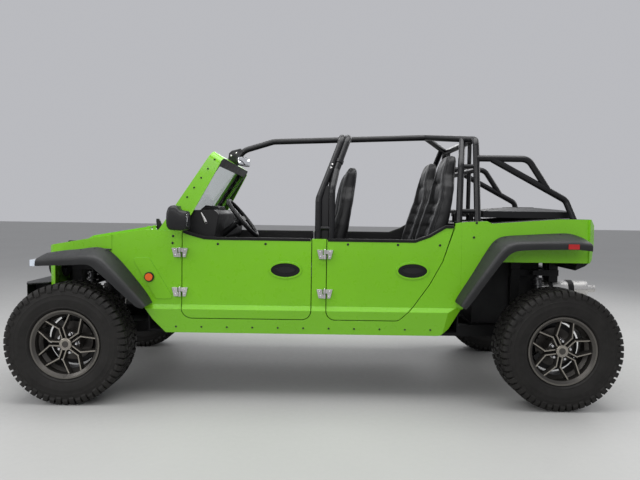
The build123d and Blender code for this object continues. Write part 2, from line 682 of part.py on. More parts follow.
LEDGE_Y = 445
DECK_PIN_X = BULKHEAD_X + 173
DECK_PIN_Z = DECK_Z + 23
DECK_HINGE_Y = 200
LUG_HALF = 36
TAIL_CORNER = (
    (REAR_X + 180, 720),
    (REAR_X + 180, 690),
    (REAR_X + 260, 610),
    (REAR_X + 410, 610),
    (REAR_X + 410, 720),
)
with BuildPart() as rear_shell:
    for side in SIDES:
        side_skin(side, BULKHEAD_X, SHELL_END_X)
        block(BULKHEAD_X, SHELL_END_X, side * LEDGE_Y, side * (SIDE_Y - 20), 1060, 1175)
    block(REAR_X + 200, SHELL_END_X, -SIDE_Y, SIDE_Y, 880, 1175)
    side_plate(BODY_OUTLINE, -WIDE, WIDE, rounds=((TAIL_CORNER_NO, 20),), mode=Mode.INTERSECT)
    block(BULKHEAD_X - 5, REAR_X, -WIDE, WIDE, SILL_Z - 20, NOTCH_Z, mode=Mode.SUBTRACT)
    for side in SIDES:
        under = side * (SIDE_Y - 24)
        block(BULKHEAD_X - 5, REAR_X + 200, side * LEDGE_Y, under, 1000, 1108, mode=Mode.SUBTRACT)
    block(BULKHEAD_X, DECK_PIN_X + 10, -LEDGE_Y, LEDGE_Y, 1108, 1116)
    for side in SIDES:
        middle = side * DECK_HINGE_Y
        for y in (middle - LUG_HALF, middle + LUG_HALF):
            block(DECK_PIN_X - 18, DECK_PIN_X + 12, y - 5, y + 5, 1116, DECK_PIN_Z + 12)
        start = (DECK_PIN_X, middle - LUG_HALF - 5, DECK_PIN_Z)
        rod(start, (DECK_PIN_X, middle + LUG_HALF + 5, DECK_PIN_Z), PIN_R)
        plan_plate([(x, side * y) for x, y in TAIL_CORNER], 300, 1300, mode=Mode.SUBTRACT)
save(rear_shell.part, "rear_shell")

# Deck cover, hinged along its front edge

DECK_FRONT_X = DECK_PIN_X + 22
DECK_END_X = REAR_X + 194
DECK_EDGE_Y = LEDGE_Y - 6
COVER_Z = DECK_Z + 10
COVER_TOP = DECK_Z + 82
COVER_SIDE_Z = DECK_Z + 53
CROWN_Y = 120
COVER_RIM = 30
COVER_CROWN = (
    (DECK_FRONT_X, COVER_Z),
    (DECK_FRONT_X, COVER_SIDE_Z + 2),
    (REAR_X - 159, COVER_TOP - 6),
    (REAR_X - 90, COVER_TOP),
    (REAR_X + 80, COVER_TOP),
    (DECK_END_X, COVER_TOP - 16),
    (DECK_END_X, COVER_Z),
)
with BuildPart() as deck_cover:
    with BuildSketch(Plane.YZ.offset(DECK_FRONT_X)) as cover_section:
        half_cover = ((DECK_EDGE_Y, COVER_Z), (DECK_EDGE_Y, COVER_SIDE_Z), (CROWN_Y, COVER_TOP))
        Polygon(*half_cover, *[(-y, z) for y, z in reversed(half_cover)], align=None)
    extrude(cover_section.sketch, amount=DECK_END_X - DECK_FRONT_X)
    side_plate(COVER_CROWN, -WIDE, WIDE, mode=Mode.INTERSECT)
    y0 = DECK_EDGE_Y - COVER_RIM
    x0 = DECK_FRONT_X + COVER_RIM
    block(x0, DECK_END_X - COVER_RIM, -y0, y0, COVER_Z - 1, COVER_Z + 30, mode=Mode.SUBTRACT)
    for side in SIDES:
        y = side * DECK_HINGE_Y
        block(DECK_PIN_X, DECK_FRONT_X, y - 25, y + 25, DECK_PIN_Z - 8, DECK_PIN_Z + 8)
        rod((DECK_PIN_X, y - 25, DECK_PIN_Z), (DECK_PIN_X, y + 25, DECK_PIN_Z), BARREL_R + 2)
        bore_r = PIN_R + RUNNING_FIT
        rod((DECK_PIN_X, y - 40, DECK_PIN_Z), (DECK_PIN_X, y + 40, DECK_PIN_Z), bore_r, mode=Mode.SUBTRACT)
save(deck_cover.part, "deck_cover")

# Cage: twin hoop over the front seats, with clamps between its tubes

HOOP_FOOT_Y = SIDE_Y - 67
HOOP_FOOT_Z = BELT_Z - 90
HOOPS = (
    # leg X, knee Z, shoulder X, roof X
    (15, 1262, 86, 168),
    (98, 1320, 126, 206),
)
PILLAR_X = (FRONT_DOOR_END_X, REAR_DOOR_X)
with BuildPart() as cab_hoop:
    for leg_x, knee_z, shoulder_x, roof_x in HOOPS:
        half = (
            (leg_x, HOOP_FOOT_Y, HOOP_FOOT_Z),
            (leg_x, HOOP_FOOT_Y - 8, knee_z),
            (shoulder_x, HOOP_FOOT_Y - 88, SHOULDER_Z),
            (roof_x, 420, ROOF_Z),
        )
        tube([(a, -b, c) for a, b, c in half] + list(reversed(half)), TUBE_R, 70)
        for side in SIDES:
            rod((roof_x, side * 300, ROOF_Z), (roof_x, side * 345, ROOF_Z), TUBE_R + 6)
    for side in SIDES:
        rod((HOOPS[0][0], side * HOOP_FOOT_Y, 1080), (HOOPS[1][0], side * HOOP_FOOT_Y, 1080), 12)
        inner = side * (HOOP_FOOT_Y - 28)
        block(PILLAR_X[0] + 2, PILLAR_X[1] - 5, inner, side * (SIDE_Y - SKIN), HOOP_FOOT_Z - 6, HOOP_FOOT_Z + 6)
        block(PILLAR_X[0] + 2, HOOPS[1][0] + 26, inner, side * (SIDE_Y - SKIN - 8), HOOP_FOOT_Z - 6, HOOP_FOOT_Z + 6)

WINDSHIELD = Plane(origin=(-974, 0, COWL_Z + 2), x_dir=(0, 1, 0), z_dir=(0.8355, 0, -0.5495))
FRAME_DEPTH = 78
FRAME_RISE = 590
HEADER_H = 58
FRAME_FOOT_Y = SIDE_Y - 25
FRAME_TOP_Y = SIDE_Y - 63
PANE_FOOT_Y = SIDE_Y - 90
PANE_TOP_Y = SIDE_Y - 125
PANE = (
    (-PANE_FOOT_Y, 60),
    (PANE_FOOT_Y, 60),
    (PANE_TOP_Y, FRAME_RISE - HEADER_H),
    (-PANE_TOP_Y, FRAME_RISE - HEADER_H),
)
with BuildPart() as windshield_frame:
    with BuildSketch(WINDSHIELD) as outer:
        foot = ((-FRAME_FOOT_Y, -30), (FRAME_FOOT_Y, -30))
        Polygon(*foot, (FRAME_TOP_Y, FRAME_RISE), (-FRAME_TOP_Y, FRAME_RISE), align=None)
        fillet(outer.vertices().group_by(Axis.Y)[-1], 60)
        Polygon(*PANE, align=None, mode=Mode.SUBTRACT)
    extrude(outer.sketch, amount=FRAME_DEPTH)
    block(COWL_X - 45, -700, -WIDE, WIDE, 900, COWL_Z - 14, mode=Mode.SUBTRACT)
    add(body_shell.part, mode=Mode.SUBTRACT)
save(windshield_frame.part, "windshield_frame")

with BuildPart() as windshield_glass:
    with BuildSketch(WINDSHIELD.offset(30)) as pane:
        Polygon(*PANE, align=None)
    extrude(pane.sketch, amount=6)
save(windshield_glass.part, "windshield_glass")

SPINE_Z = ROOF_Z + 62
FORK_X = 790
FORK_END_Y = 400
RUNG_Z = 1200
UPPER_RUNG_Z = ROOF_Z - 202
KNEE_Z = ROOF_Z - 172
LEG_X = REAR_HOOP_X - 120
LEG_TOP_X = REAR_HOOP_X - 54
LEG_TOP_Y = FORK_END_Y * (LEG_TOP_X - FORK_X) / (REAR_HOOP_X - FORK_X)
LEG_TOP_Z = SPINE_Z + (ROOF_Z - SPINE_Z) * LEG_TOP_Y / FORK_END_Y
with BuildPart() as rear_cage:
    half = (
        (REAR_HOOP_X, CAGE_Y + 65, CAGE_FOOT_Z),
        (REAR_HOOP_X, CAGE_Y, KNEE_Z),
        (REAR_HOOP_X, 440, ROOF_Z),
    )
    tube([(a, -b, c) for a, b, c in half] + list(reversed(half)), TUBE_R, 60)
    rod((REAR_HOOP_X, -CAGE_Y, UPPER_RUNG_Z), (REAR_HOOP_X, CAGE_Y, UPPER_RUNG_Z), TUBE_R - 3)
    rod((REAR_HOOP_X, -CAGE_Y - 50, RUNG_Z), (REAR_HOOP_X, CAGE_Y + 50, RUNG_Z), THIN_TUBE_R)
    for side in SIDES:
        rod((REAR_HOOP_X, side * 300, RUNG_Z), (REAR_HOOP_X, side * 300, ROOF_Z), THIN_TUBE_R)
        leg = (
            (LEG_X, side * (CAGE_Y + 65), CAGE_FOOT_Z),
            (LEG_X + 21, side * CAGE_Y, KNEE_Z),
            (LEG_TOP_X, side * LEG_TOP_Y, LEG_TOP_Z),
        )
        tube(leg, TUBE_R, 90)
        for x, z, y in ((LEG_X + 5, RUNG_Z, CAGE_Y + 51), (LEG_X + 21, KNEE_Z - 10, CAGE_Y)):
            rod((x, side * y, z), (REAR_HOOP_X, side * y, z), THIN_TUBE_R)
    add(rear_shell.part, mode=Mode.SUBTRACT)
save(rear_cage.part, "rear_cage")

SPINE_FOOT = WINDSHIELD.from_local_coords(Vector(0, FRAME_RISE - 11, 52))
with BuildPart() as roof_spine:
    spine = (tuple(SPINE_FOOT), (-541, 0, SPINE_Z - 114), (-322, 0, SPINE_Z - 46), (FORK_X, 0, SPINE_Z))
    tube(spine, TUBE_R, 110)
    for side in SIDES:
        rod((FORK_X, 0, SPINE_Z), (REAR_HOOP_X, side * FORK_END_Y, ROOF_Z), TUBE_R)
    add(windshield_frame.part, mode=Mode.SUBTRACT)
    add(cab_hoop.part, mode=Mode.SUBTRACT)
    add(rear_cage.part, mode=Mode.SUBTRACT)

BRACE_Z = ROOF_Z - 129
with BuildPart() as rear_braces:
    for side in SIDES:
        y = side * (CAGE_Y - 3)
        upper = ((REAR_HOOP_X, y, BRACE_Z), (REAR_X - 120, y, BRACE_Z), (REAR_X + 18, y, 1340))
        tube(upper, TUBE_R, 80)
        foot = (REAR_X + 186, side * (CAGE_Y + 30), 1130)
        tube(((REAR_HOOP_X + 102, y, BRACE_Z - 5), (REAR_X + 133, y, 1279), foot), TUBE_R, 50)
    add(rear_cage.part, mode=Mode.SUBTRACT)
    add(rear_shell.part, mode=Mode.SUBTRACT)

save(cab_hoop.part, "cab_hoop")
save(roof_spine.part, "roof_spine")
save(rear_braces.part, "rear_braces")

# Front clip: grille, nose and the walls beside the hood

CLIP_Y = SIDE_Y - 7
NOSE_Y = 440
CLIP_PLAN = ((CLIP_X, CLIP_Y), (FRONT_X - 225, NOSE_Y + 30), (GRILLE_X + 5, NOSE_Y))
CLIP_INNER = ((CLIP_X + 1, CLIP_Y - 33), (FRONT_X - 215, NOSE_Y - 10), (FRONT_X - 220, NOSE_Y - 40))
LAMP_Y = 335
LAMP_Z = 800
LAMP_R = 80
GRILLE_BARS = 5
GRILLE_Z = 690
BAR_PITCH = 42
SLOT_H = 24


def hood_z(x):
    """Height of the hood line at a station."""
    return COWL_Z + (x - COWL_X) * HOOD_SLOPE


with BuildPart() as front_clip:
    plan_plate(both_sides(CLIP_PLAN), 600, 1100)
    plan_plate(both_sides(CLIP_INNER), 590, 1110, mode=Mode.SUBTRACT)
    clip_profile = (
        (CLIP_X, 870),
        (CLIP_X, hood_z(CLIP_X)),
        (GRILLE_X + 15, hood_z(GRILLE_X + 15)),
        (GRILLE_X, 925),
        (GRILLE_X + 12, 610),
        (GRILLE_X + 50, 610),
        (GRILLE_X + 50, 870),
    )
    side_plate(clip_profile, -WIDE, WIDE, mode=Mode.INTERSECT)
    for side in SIDES:
        y = side * LAMP_Y
        rod((GRILLE_X - 50, y, LAMP_Z), (GRILLE_X + 100, y, LAMP_Z), LAMP_R, mode=Mode.SUBTRACT)
    for bar in range(GRILLE_BARS):
        z = GRILLE_Z + bar * BAR_PITCH
        block(GRILLE_X - 50, GRILLE_X + 100, -225, 225, z, z + SLOT_H, mode=Mode.SUBTRACT)
save(front_clip.part, "front_clip")

# Hood, hinged along the cowl

HOOD_T = 18
HOOD_Y = SIDE_Y - 45
HOOD_PLAN = ((COWL_X, HOOD_Y), (CLIP_X, HOOD_Y), (HOOD_END_X, NOSE_Y - 13))
BULGE_END_X = HOOD_END_X + 80
BULGE_PLAN = ((COWL_X - 25, 300), (BULGE_END_X + 60, 210), (BULGE_END_X, 160))
BULGE_H = 22
HOOD_CHAMFER = 7
with BuildPart() as hood_bulge:
    plan_plate(both_sides(BULGE_PLAN), 800, 1200)
    raised = (
        (COWL_X - 25, hood_z(COWL_X - 25) + 6),
        (COWL_X - 85, hood_z(COWL_X - 85) + BULGE_H),
        (BULGE_END_X + 60, hood_z(BULGE_END_X + 60) + BULGE_H),
        (BULGE_END_X, hood_z(BULGE_END_X) + 6),
        (BULGE_END_X, hood_z(BULGE_END_X) - 4),
        (COWL_X - 25, hood_z(COWL_X - 25) - 4),
    )
    side_plate(raised, -WIDE, WIDE, mode=Mode.INTERSECT)
with BuildPart() as hood:
    plan_plate(both_sides(HOOD_PLAN), 800, 1200)
    lid = (
        (COWL_X, hood_z(COWL_X)),
        (HOOD_END_X, hood_z(HOOD_END_X)),
        (HOOD_END_X, hood_z(HOOD_END_X) - HOOD_T),
        (COWL_X, hood_z(COWL_X) - HOOD_T),
    )
    side_plate(lid, -WIDE, WIDE, mode=Mode.INTERSECT)
    chamfer(hood.faces().sort_by(Axis.Z)[-1].edges(), HOOD_CHAMFER)
    add(hood_bulge.part)
    for side in SIDES:
        y0 = side * (HOOD_HINGE_Y - 20)
        y1 = side * (HOOD_HINGE_Y + 20)
        block(COWL_X - 30, HOOD_PIN_X, y0, y1, HOOD_PIN_Z - 4, HOOD_PIN_Z + 4)
        block(COWL_X - 30, COWL_X - 7, y0, y1, hood_z(COWL_X - 20) - 10, HOOD_PIN_Z)
        rod((HOOD_PIN_X, y0, HOOD_PIN_Z), (HOOD_PIN_X, y1, HOOD_PIN_Z), BARREL_R)
        start = (HOOD_PIN_X, y0 - side * 30, HOOD_PIN_Z)
        rod(start, (HOOD_PIN_X, y1 + side * 9, HOOD_PIN_Z), PIN_R + RUNNING_FIT, mode=Mode.SUBTRACT)
save(hood.part, "hood")

# Seat places, and how much shorter the cushion is than in front

FRONT_SEAT_X = 120
REAR_SEAT_X = 757
SEATS = (
    # name, X shift, Y, Z shift, cushion cut short by
    ("front_left", FRONT_SEAT_X, -300, 0, 0),
    ("front_right", FRONT_SEAT_X, 300, 0, 0),
    ("rear_left", REAR_SEAT_X, -300, 90, 100),
    ("rear_right", REAR_SEAT_X, 300, 90, 100),
)

# Tub: floor, firewall, tunnel, seat boxes, bulkhead and the shelf under the hood

TUB_Y = SIDE_Y - SKIN
TUNNEL_Y = 100
TUNNEL_TOP = 556
BOX_TOP = 560
STEP_Y = 560
STEP_TOP = 656
with BuildPart() as body_tub:
    block(COWL_X + 10, BULKHEAD_X, -TUB_Y, TUB_Y, SILL_Z, FLOOR_Z)
    block(COWL_X + 10, COWL_X + 10 + SHEET, -TUB_Y, TUB_Y, FLOOR_Z, COWL_Z - 50)
    block(BULKHEAD_X - SHEET, BULKHEAD_X, -TUB_Y, TUB_Y, FLOOR_Z, 1108)
    block(COWL_X + 20, 180, -TUNNEL_Y, TUNNEL_Y, FLOOR_Z, TUNNEL_TOP)
    block(COWL_X + 19, 170, SHEET - TUNNEL_Y, TUNNEL_Y - SHEET, FLOOR_Z, TUNNEL_TOP - SHEET, mode=Mode.SUBTRACT)
    block(180, BULKHEAD_X - SHEET, -STEP_Y, STEP_Y, STEP_TOP - 12, STEP_TOP)
    block(180, 192, -STEP_Y, STEP_Y, FLOOR_Z, STEP_TOP - 12)
    for side in SIDES:
        x0 = FRONT_SEAT_X - 500
        x1 = FRONT_SEAT_X - 60
        block(x0, x1, side * 120, side * 480, FLOOR_Z, BOX_TOP)
        block(x0 + SHEET, x1 - SHEET, side * 130, side * 470, FLOOR_Z, BOX_TOP - SHEET, mode=Mode.SUBTRACT)
    shelf = ((COWL_X + 20, 560), (FRONT_X + 250, 560), (FRONT_X - 200, NOSE_Y - 55))
    plan_plate(both_sides(shelf), LINER_Z, LINER_Z + 8)
save(body_tub.part, "body_tub")

# Flares, built on the driver's side and mirrored

FLARE_Y = SIDE_Y - 6
FLARE_W = WHEEL_Y + TYRE_W / 2 - 19 - FLARE_Y
FLARE_LIP = 44
FLARE_T = 8
FLARE_BEND = 56


def flare(path_points, drop):
    """Band with a lip, swept along the wheel arch; its outer edge lies lower by the drop."""
    with BuildLine() as path:
        FilletPolyline(*[(x, -FLARE_Y, z) for x, z in path_points], radius=FLARE_BEND)
    along = (path.line % 0).normalized()
    start = Plane(origin=path.line @ 0, x_dir=(0, -1, 0), z_dir=along)
    flip = 1 if start.y_dir.Z > 0 else -1
    lip_y = FLARE_W - FLARE_T
    profile = (
        (0, drop),
        (0, drop - FLARE_T),
        (lip_y, -FLARE_T),
        (lip_y, -FLARE_LIP),
        (FLARE_W, -FLARE_LIP),
        (FLARE_W, 0),
    )
    with BuildSketch(start) as section:
        Polygon(*[(y, flip * z) for y, z in profile], align=None)
    sweep(section.sketch, path=path.line)


FRONT_ARCH = ((FRONT_X - 172, 874), (FRONT_X - 90, 886), (FRONT_X + 195, 905), (FRONT_X + 485, 610))
REAR_ARCH = ((REAR_X - 614, 608), (REAR_X - 337, 1012), (REAR_X + 105, 1021), (REAR_X + 150, 1008))
FRONT_DROP = 28
FLARES = (
    # name, path in X and Z, drop
    ("front", FRONT_ARCH, FRONT_DROP),
    ("rear", REAR_ARCH, 50),
)
WEB_LINE = [(x, z + FRONT_DROP - 2) for x, z in FRONT_ARCH[:3]] + [(CLIP_X, FRONT_ARCH[2][1] + FRONT_DROP - 2)]
WEB_TIP_X = FRONT_ARCH[0][0]
WEB_PLAN = (
    (WEB_TIP_X, -FLARE_Y),
    (CLIP_X, -FLARE_Y),
    (CLIP_X, -CLIP_Y + 20),
    (WEB_TIP_X, -NOSE_Y - 40),
)
with BuildPart() as flare_web:
    plan_plate(WEB_PLAN, 800, 1000)
    side_plate(WEB_LINE + [(x, z - 10) for x, z in reversed(WEB_LINE)], -WIDE, 0, mode=Mode.INTERSECT)

for name, path_points, drop in FLARES:
    with BuildPart() as left_flare:
        flare(path_points, drop)
        if name == "front":
            add(flare_web.part)
        add(body_shell.part, mode=Mode.SUBTRACT)
        add(front_clip.part if name == "front" else rear_shell.part, mode=Mode.SUBTRACT)
    save(left_flare.part, "flare_" + name + "_left")
    with BuildPart() as right_flare:
        add(mirror(left_flare.part, about=Plane.XZ, mode=Mode.PRIVATE))
    save(right_flare.part, "flare_" + name + "_right")
    if name == "front":
        front_flare = left_flare
    else:
        rear_flare = left_flare

# Lamps: headlamps, lamps in the tips of the flares and amber markers in front, round lamps and reflectors behind

MARKER_X = FRONT_X + 464
MARKER_Z = 765
FLARE_LAMP_X = FRONT_X - 188
with BuildPart() as front_lamps:
    for side in SIDES:
        y = side * LAMP_Y
        rod((GRILLE_X - 2, y, LAMP_Z), (GRILLE_X + 60, y, LAMP_Z), LAMP_R)
        rod((GRILLE_X - 10, y, LAMP_Z), (GRILLE_X + 5, y, LAMP_Z), LAMP_R - 12)
        rod((MARKER_X, side * (SIDE_Y - 8), MARKER_Z), (MARKER_X, side * (SIDE_Y + 9), MARKER_Z), 30)
        rod((MARKER_X, side * SIDE_Y, MARKER_Z), (MARKER_X, side * (SIDE_Y + 16), MARKER_Z), 23)
        y0 = side * (FLARE_Y + 22)
        y1 = side * (FLARE_Y + FLARE_W - 10)
        block(FLARE_LAMP_X - 20, FLARE_LAMP_X + 30, y0, y1, 834, 872)
    add(body_shell.part, mode=Mode.SUBTRACT)
    add(front_flare.part, mode=Mode.SUBTRACT)
    add(mirror(front_flare.part, about=Plane.XZ, mode=Mode.PRIVATE), mode=Mode.SUBTRACT)
save(front_lamps.part, "front_lamps")

REFLECTOR_X = REAR_X + 41
REFLECTOR_HALF = 33
with BuildPart() as rear_lamps:
    for side in SIDES:
        for y, radius in ((500, 45), (390, 32)):
            rod((REAR_X + 246, side * y, 1010), (REAR_X + 262, side * y, 1010), radius)
        y0 = side * (FLARE_Y + FLARE_W - 3)
        y1 = side * (FLARE_Y + FLARE_W + 4)
        block(REFLECTOR_X - REFLECTOR_HALF, REFLECTOR_X + REFLECTOR_HALF, y0, y1, 981, 1011)
    add(rear_shell.part, mode=Mode.SUBTRACT)
    add(rear_flare.part, mode=Mode.SUBTRACT)
    add(mirror(rear_flare.part, about=Plane.XZ, mode=Mode.PRIVATE), mode=Mode.SUBTRACT)
save(rear_lamps.part, "rear_lamps")

# Front bumper with a winch pattern in its deck

WINCH_X = FRONT_X - 345
WINCH_SPAN_X = 114.3
WINCH_SPAN_Y = 254
WINCH_HOLE_R = 5.5
BUMPER_TOP = 690
BUMPER_LOW = 560
BUMPER_T = 8
BUMPER_PLAN = ((FRONT_X - 275, 430), (FRONT_X - 360, 490), (FRONT_X - 390, 490), (NOSE_X, 420))
ARM_Y = 275
ARM_W = 50
with BuildPart() as front_bumper:
    plan_plate(both_sides(BUMPER_PLAN), BUMPER_LOW, BUMPER_TOP)
    hollow_x = NOSE_X + BUMPER_T
    low = BUMPER_LOW + BUMPER_T
    block(hollow_x, FRONT_X - 210, -600, 600, low, BUMPER_TOP - BUMPER_T, mode=Mode.SUBTRACT)
    arm = (
        (FRONT_X - RAIL_END, RAIL_Z),
        (FRONT_X - RAIL_END, RAIL_TOP),
        (FRONT_X - 295, 660),
        (FRONT_X - 415, 660),
        (FRONT_X - 415, low),
        (FRONT_X - 310, low),
        (FRONT_X - 200, RAIL_Z),
    )
    for side in SIDES:
        side_plate(arm, side * ARM_Y, side * (ARM_Y + ARM_W))
    for x in (WINCH_X - WINCH_SPAN_X / 2, WINCH_X + WINCH_SPAN_X / 2):
        for y in (-WINCH_SPAN_Y / 2, WINCH_SPAN_Y / 2):
            rod((x, y, BUMPER_TOP - 20), (x, y, BUMPER_TOP + 10), WINCH_HOLE_R, mode=Mode.SUBTRACT)
save(front_bumper.part, "front_bumper")

# Mirrors: one on each side of the cowl and one under the windshield's header

MIRROR_HEAD = (
    (-905, 1062),
    (-911, 1130),
    (-905, 1205),
    (-893, 1213),
    (-851, 1213),
    (-838, 1176),
    (-782, 1168),
    (-770, 1120),
    (-782, 1070),
    (-800, 1062),
)
with BuildPart() as mirrors:
    for side in SIDES:
        side_plate(MIRROR_HEAD, side * (SIDE_Y + 25), side * (SIDE_Y + 147), rounds=((0, 20), (5, 14), (7, 20)))
        rod((-905, side * (SIDE_Y - 35), 1110), (-880, side * (SIDE_Y + 35), 1120), 14)
    inner = WINDSHIELD.from_local_coords(Vector(0, FRAME_RISE - 75, FRAME_DEPTH + 26))
    holder = WINDSHIELD.from_local_coords(Vector(0, FRAME_RISE - 30, FRAME_DEPTH - 12))
    rod(tuple(holder), tuple(inner), 7)
    block(inner.X - 10, inner.X + 14, -115, 115, inner.Z - 30, inner.Z + 30)
    add(windshield_frame.part, mode=Mode.SUBTRACT)
    add(body_shell.part, mode=Mode.SUBTRACT)
save(mirrors.part, "mirrors")

# Dashboard with its gauge hood and grab handle

DASH_Y = SIDE_Y - 65
DASH_PROFILE = (
    (-885, COWL_Z - 50),
    (-885, COWL_Z - 8),
    (-800, 1172),
    (-780, 1182),
    (-640, 1184),
    (-612, 1160),
    (-640, 1000),
    (-670, 960),
    (-860, 960),
)
POD_PROFILE = ((-780, 1170), (-730, 1214), (-645, 1208), (-640, 1170))
with BuildPart() as dashboard:
    side_plate(DASH_PROFILE, -DASH_Y, DASH_Y, rounds=((4, 14), (5, 14)))
    side_plate(POD_PROFILE, STEER_Y - 120, STEER_Y + 120, rounds=((1, 12), (2, 12)))
    tube(((-640, 200, 1110), (-588, 200, 1110), (-588, 400, 1110), (-640, 400, 1110)), 10, 24)
    add(windshield_frame.part, mode=Mode.SUBTRACT)
save(dashboard.part, "dashboard")

# Steering column, pedals and levers

STEER_CENTRE = Vector(STEER_X, STEER_Y, STEER_Z)
SHAFT_R = 10
GRIP_R = 14
WHEEL_RIM_R = 150
LEVER_X = -480
with BuildPart() as controls:
    rod(tuple(STEER_CENTRE - STEER_AXIS * 60), tuple(STEER_CENTRE - STEER_AXIS * 230), 22)
    upper = tuple(STEER_CENTRE - STEER_AXIS * 40)
    rod(upper, tuple(STEER_CENTRE - STEER_AXIS * 235), SHAFT_R + RUNNING_FIT, mode=Mode.SUBTRACT)
    add(dashboard.part, mode=Mode.SUBTRACT)
    for y, width in ((STEER_Y - 60, 70), (STEER_Y + 60, 50)):
        rod((COWL_X + 20, y, 700), (-985, y, 560), 8)
        block(-993, -977, y - width / 2, y + width / 2, 520, 580)
    rod((LEVER_X, 0, TUNNEL_TOP), (LEVER_X - 40, 0, 760), 7)
    rod((LEVER_X - 37, 0, 745), (LEVER_X - 48, 0, 800), 20)
    rod((LEVER_X + 150, 40, TUNNEL_TOP), (LEVER_X - 30, 40, 690), 11)
    block(LEVER_X + 110, LEVER_X + 180, 25, 55, TUNNEL_TOP, TUNNEL_TOP + 30)
    add(body_tub.part, mode=Mode.SUBTRACT)
save(controls.part, "controls")

with BuildPart() as steering_wheel:
    with BuildSketch(Plane(origin=STEER_CENTRE, x_dir=(0, 1, 0), z_dir=STEER_AXIS)) as spokes:
        Circle(38)
        for angle in (0, 180, 270):
            with Locations(Location((0, 0, 0), (0, 0, 1), angle)):
                Rectangle(WHEEL_RIM_R, 34, align=(Align.MIN, Align.CENTER))
    extrude(spokes.sketch, amount=-10)
    grip_start = STEER_CENTRE + Vector(0, WHEEL_RIM_R, 0)
    with BuildSketch(Plane(origin=grip_start, x_dir=(0, 1, 0), z_dir=Vector(0, 1, 0).cross(STEER_AXIS))) as grip:
        Circle(GRIP_R)
    revolve(grip.sketch, axis=Axis(tuple(STEER_CENTRE), tuple(STEER_AXIS)))
    rod(tuple(STEER_CENTRE - STEER_AXIS * 5), tuple(STEER_CENTRE - STEER_AXIS * 50), 32)
    rod(tuple(STEER_CENTRE - STEER_AXIS * 5), tuple(STEER_CENTRE - STEER_AXIS * 140), SHAFT_R)
save(steering_wheel.part, "steering_wheel")

# Seats

CUSHION = ((-540, 560), (-555, 740), (-520, 790), (-400, 790), (-110, 760), (-70, 560))
BACK = (
    (-120, 640),
    (-70, 900),
    (-5, 1200),
    (40, 1370),
    (85, 1470),
    (120, 1486),
    (150, 1470),
    (155, 1380),
    (143, 1200),
    (60, 900),
    (20, 640),
)
BACK_FACE = ((240, 560), (250, 1100), (225, 1260), (150, 1330), (135, 1440), (105, 1490))
BACK_HALF = 255
CUSHION_HALF = 240
for name, x, y, z, cut in SEATS:
    with BuildPart() as seat:
        side_plate([(a + x, b + z) for a, b in BACK], y - BACK_HALF, y + BACK_HALF)
        with BuildSketch(Plane.YZ.offset(x - 400)) as back_face:
            outline = [(y + a, b + z) for a, b in BACK_FACE] + [(y - a, b + z) for a, b in reversed(BACK_FACE)]
            Polygon(*outline, align=None)
        extrude(back_face.sketch, amount=1000, mode=Mode.INTERSECT)
        cushion = [(a + x + (cut if a < -300 else 0), b + z) for a, b in CUSHION]
        side_plate(cushion, y - CUSHION_HALF, y + CUSHION_HALF)
        if z:
            block(x - 560, x + 40, y - 250, y + 250, STEP_TOP - 16, STEP_TOP, mode=Mode.SUBTRACT)
    save(seat.part, "seat_" + name)
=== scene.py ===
import json
import math
import bmesh
import bpy
from mathutils import Matrix, Vector


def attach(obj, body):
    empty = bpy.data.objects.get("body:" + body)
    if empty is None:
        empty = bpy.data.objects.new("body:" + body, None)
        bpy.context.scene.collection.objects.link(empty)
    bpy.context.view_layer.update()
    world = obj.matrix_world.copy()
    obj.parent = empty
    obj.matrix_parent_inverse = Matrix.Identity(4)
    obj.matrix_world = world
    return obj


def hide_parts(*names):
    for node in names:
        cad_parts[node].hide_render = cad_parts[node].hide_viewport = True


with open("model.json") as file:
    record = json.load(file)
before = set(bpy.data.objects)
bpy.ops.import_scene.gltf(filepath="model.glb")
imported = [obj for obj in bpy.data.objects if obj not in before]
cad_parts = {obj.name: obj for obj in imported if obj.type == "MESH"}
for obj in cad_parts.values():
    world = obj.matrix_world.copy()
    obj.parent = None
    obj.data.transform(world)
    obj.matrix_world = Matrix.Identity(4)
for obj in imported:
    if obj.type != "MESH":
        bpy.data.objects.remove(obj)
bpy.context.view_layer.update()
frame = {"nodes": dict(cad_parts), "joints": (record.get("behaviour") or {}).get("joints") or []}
scene = bpy.context.scene
nodes = frame["nodes"]

# Lengths are in metres: +X runs to the tail, -Y is the driver's side, Z is up from the floor.

SIDES = (-1, 1)
SIDE_NAMES = {-1: "left", 1: "right"}
CORNERS = ("front_left", "front_right", "rear_left", "rear_right")
JOINT_AT = {joint["name"]: Vector(joint["pos_m"]) for joint in frame["joints"]}
HUBS = {corner: JOINT_AT["wheel_" + corner + "_spin"] for corner in CORNERS}
FRONT_X = HUBS["front_left"].x
REAR_X = HUBS["rear_left"].x
BELT_Z = 1.013
SIDE_Y = 0.665


# Materials

def wire(tree, target, inputs):
    """Fill a node's inputs, each with a value or with another node's output."""
    for name, value in inputs.items():
        if isinstance(value, bpy.types.NodeSocket):
            tree.links.new(value, target.inputs[name])
        else:
            target.inputs[name].default_value = value


def add_node(tree, kind, inputs, **settings):
    """New node of a material with its settings and inputs."""
    node = tree.nodes.new("ShaderNode" + kind)
    for name, value in settings.items():
        setattr(node, name, value)
    wire(tree, node, inputs)
    return node


def shader(name):
    """New material, its tree and its surface node."""
    material = bpy.data.materials.new(name)
    material.use_nodes = True
    tree = material.node_tree
    return material, tree, tree.nodes["Principled BSDF"]


def noise(tree, scale, detail=4.0, stretch=(1, 1, 1)):
    """Noise over the piece's own coordinates."""
    place = add_node(tree, "TexCoord", {}).outputs["Object"]
    mapping = add_node(tree, "Mapping", {"Vector": place, "Scale": stretch}).outputs["Vector"]
    texture = add_node(tree, "TexNoise", {"Vector": mapping, "Scale": scale, "Detail": detail})
    return texture.outputs["Fac"]


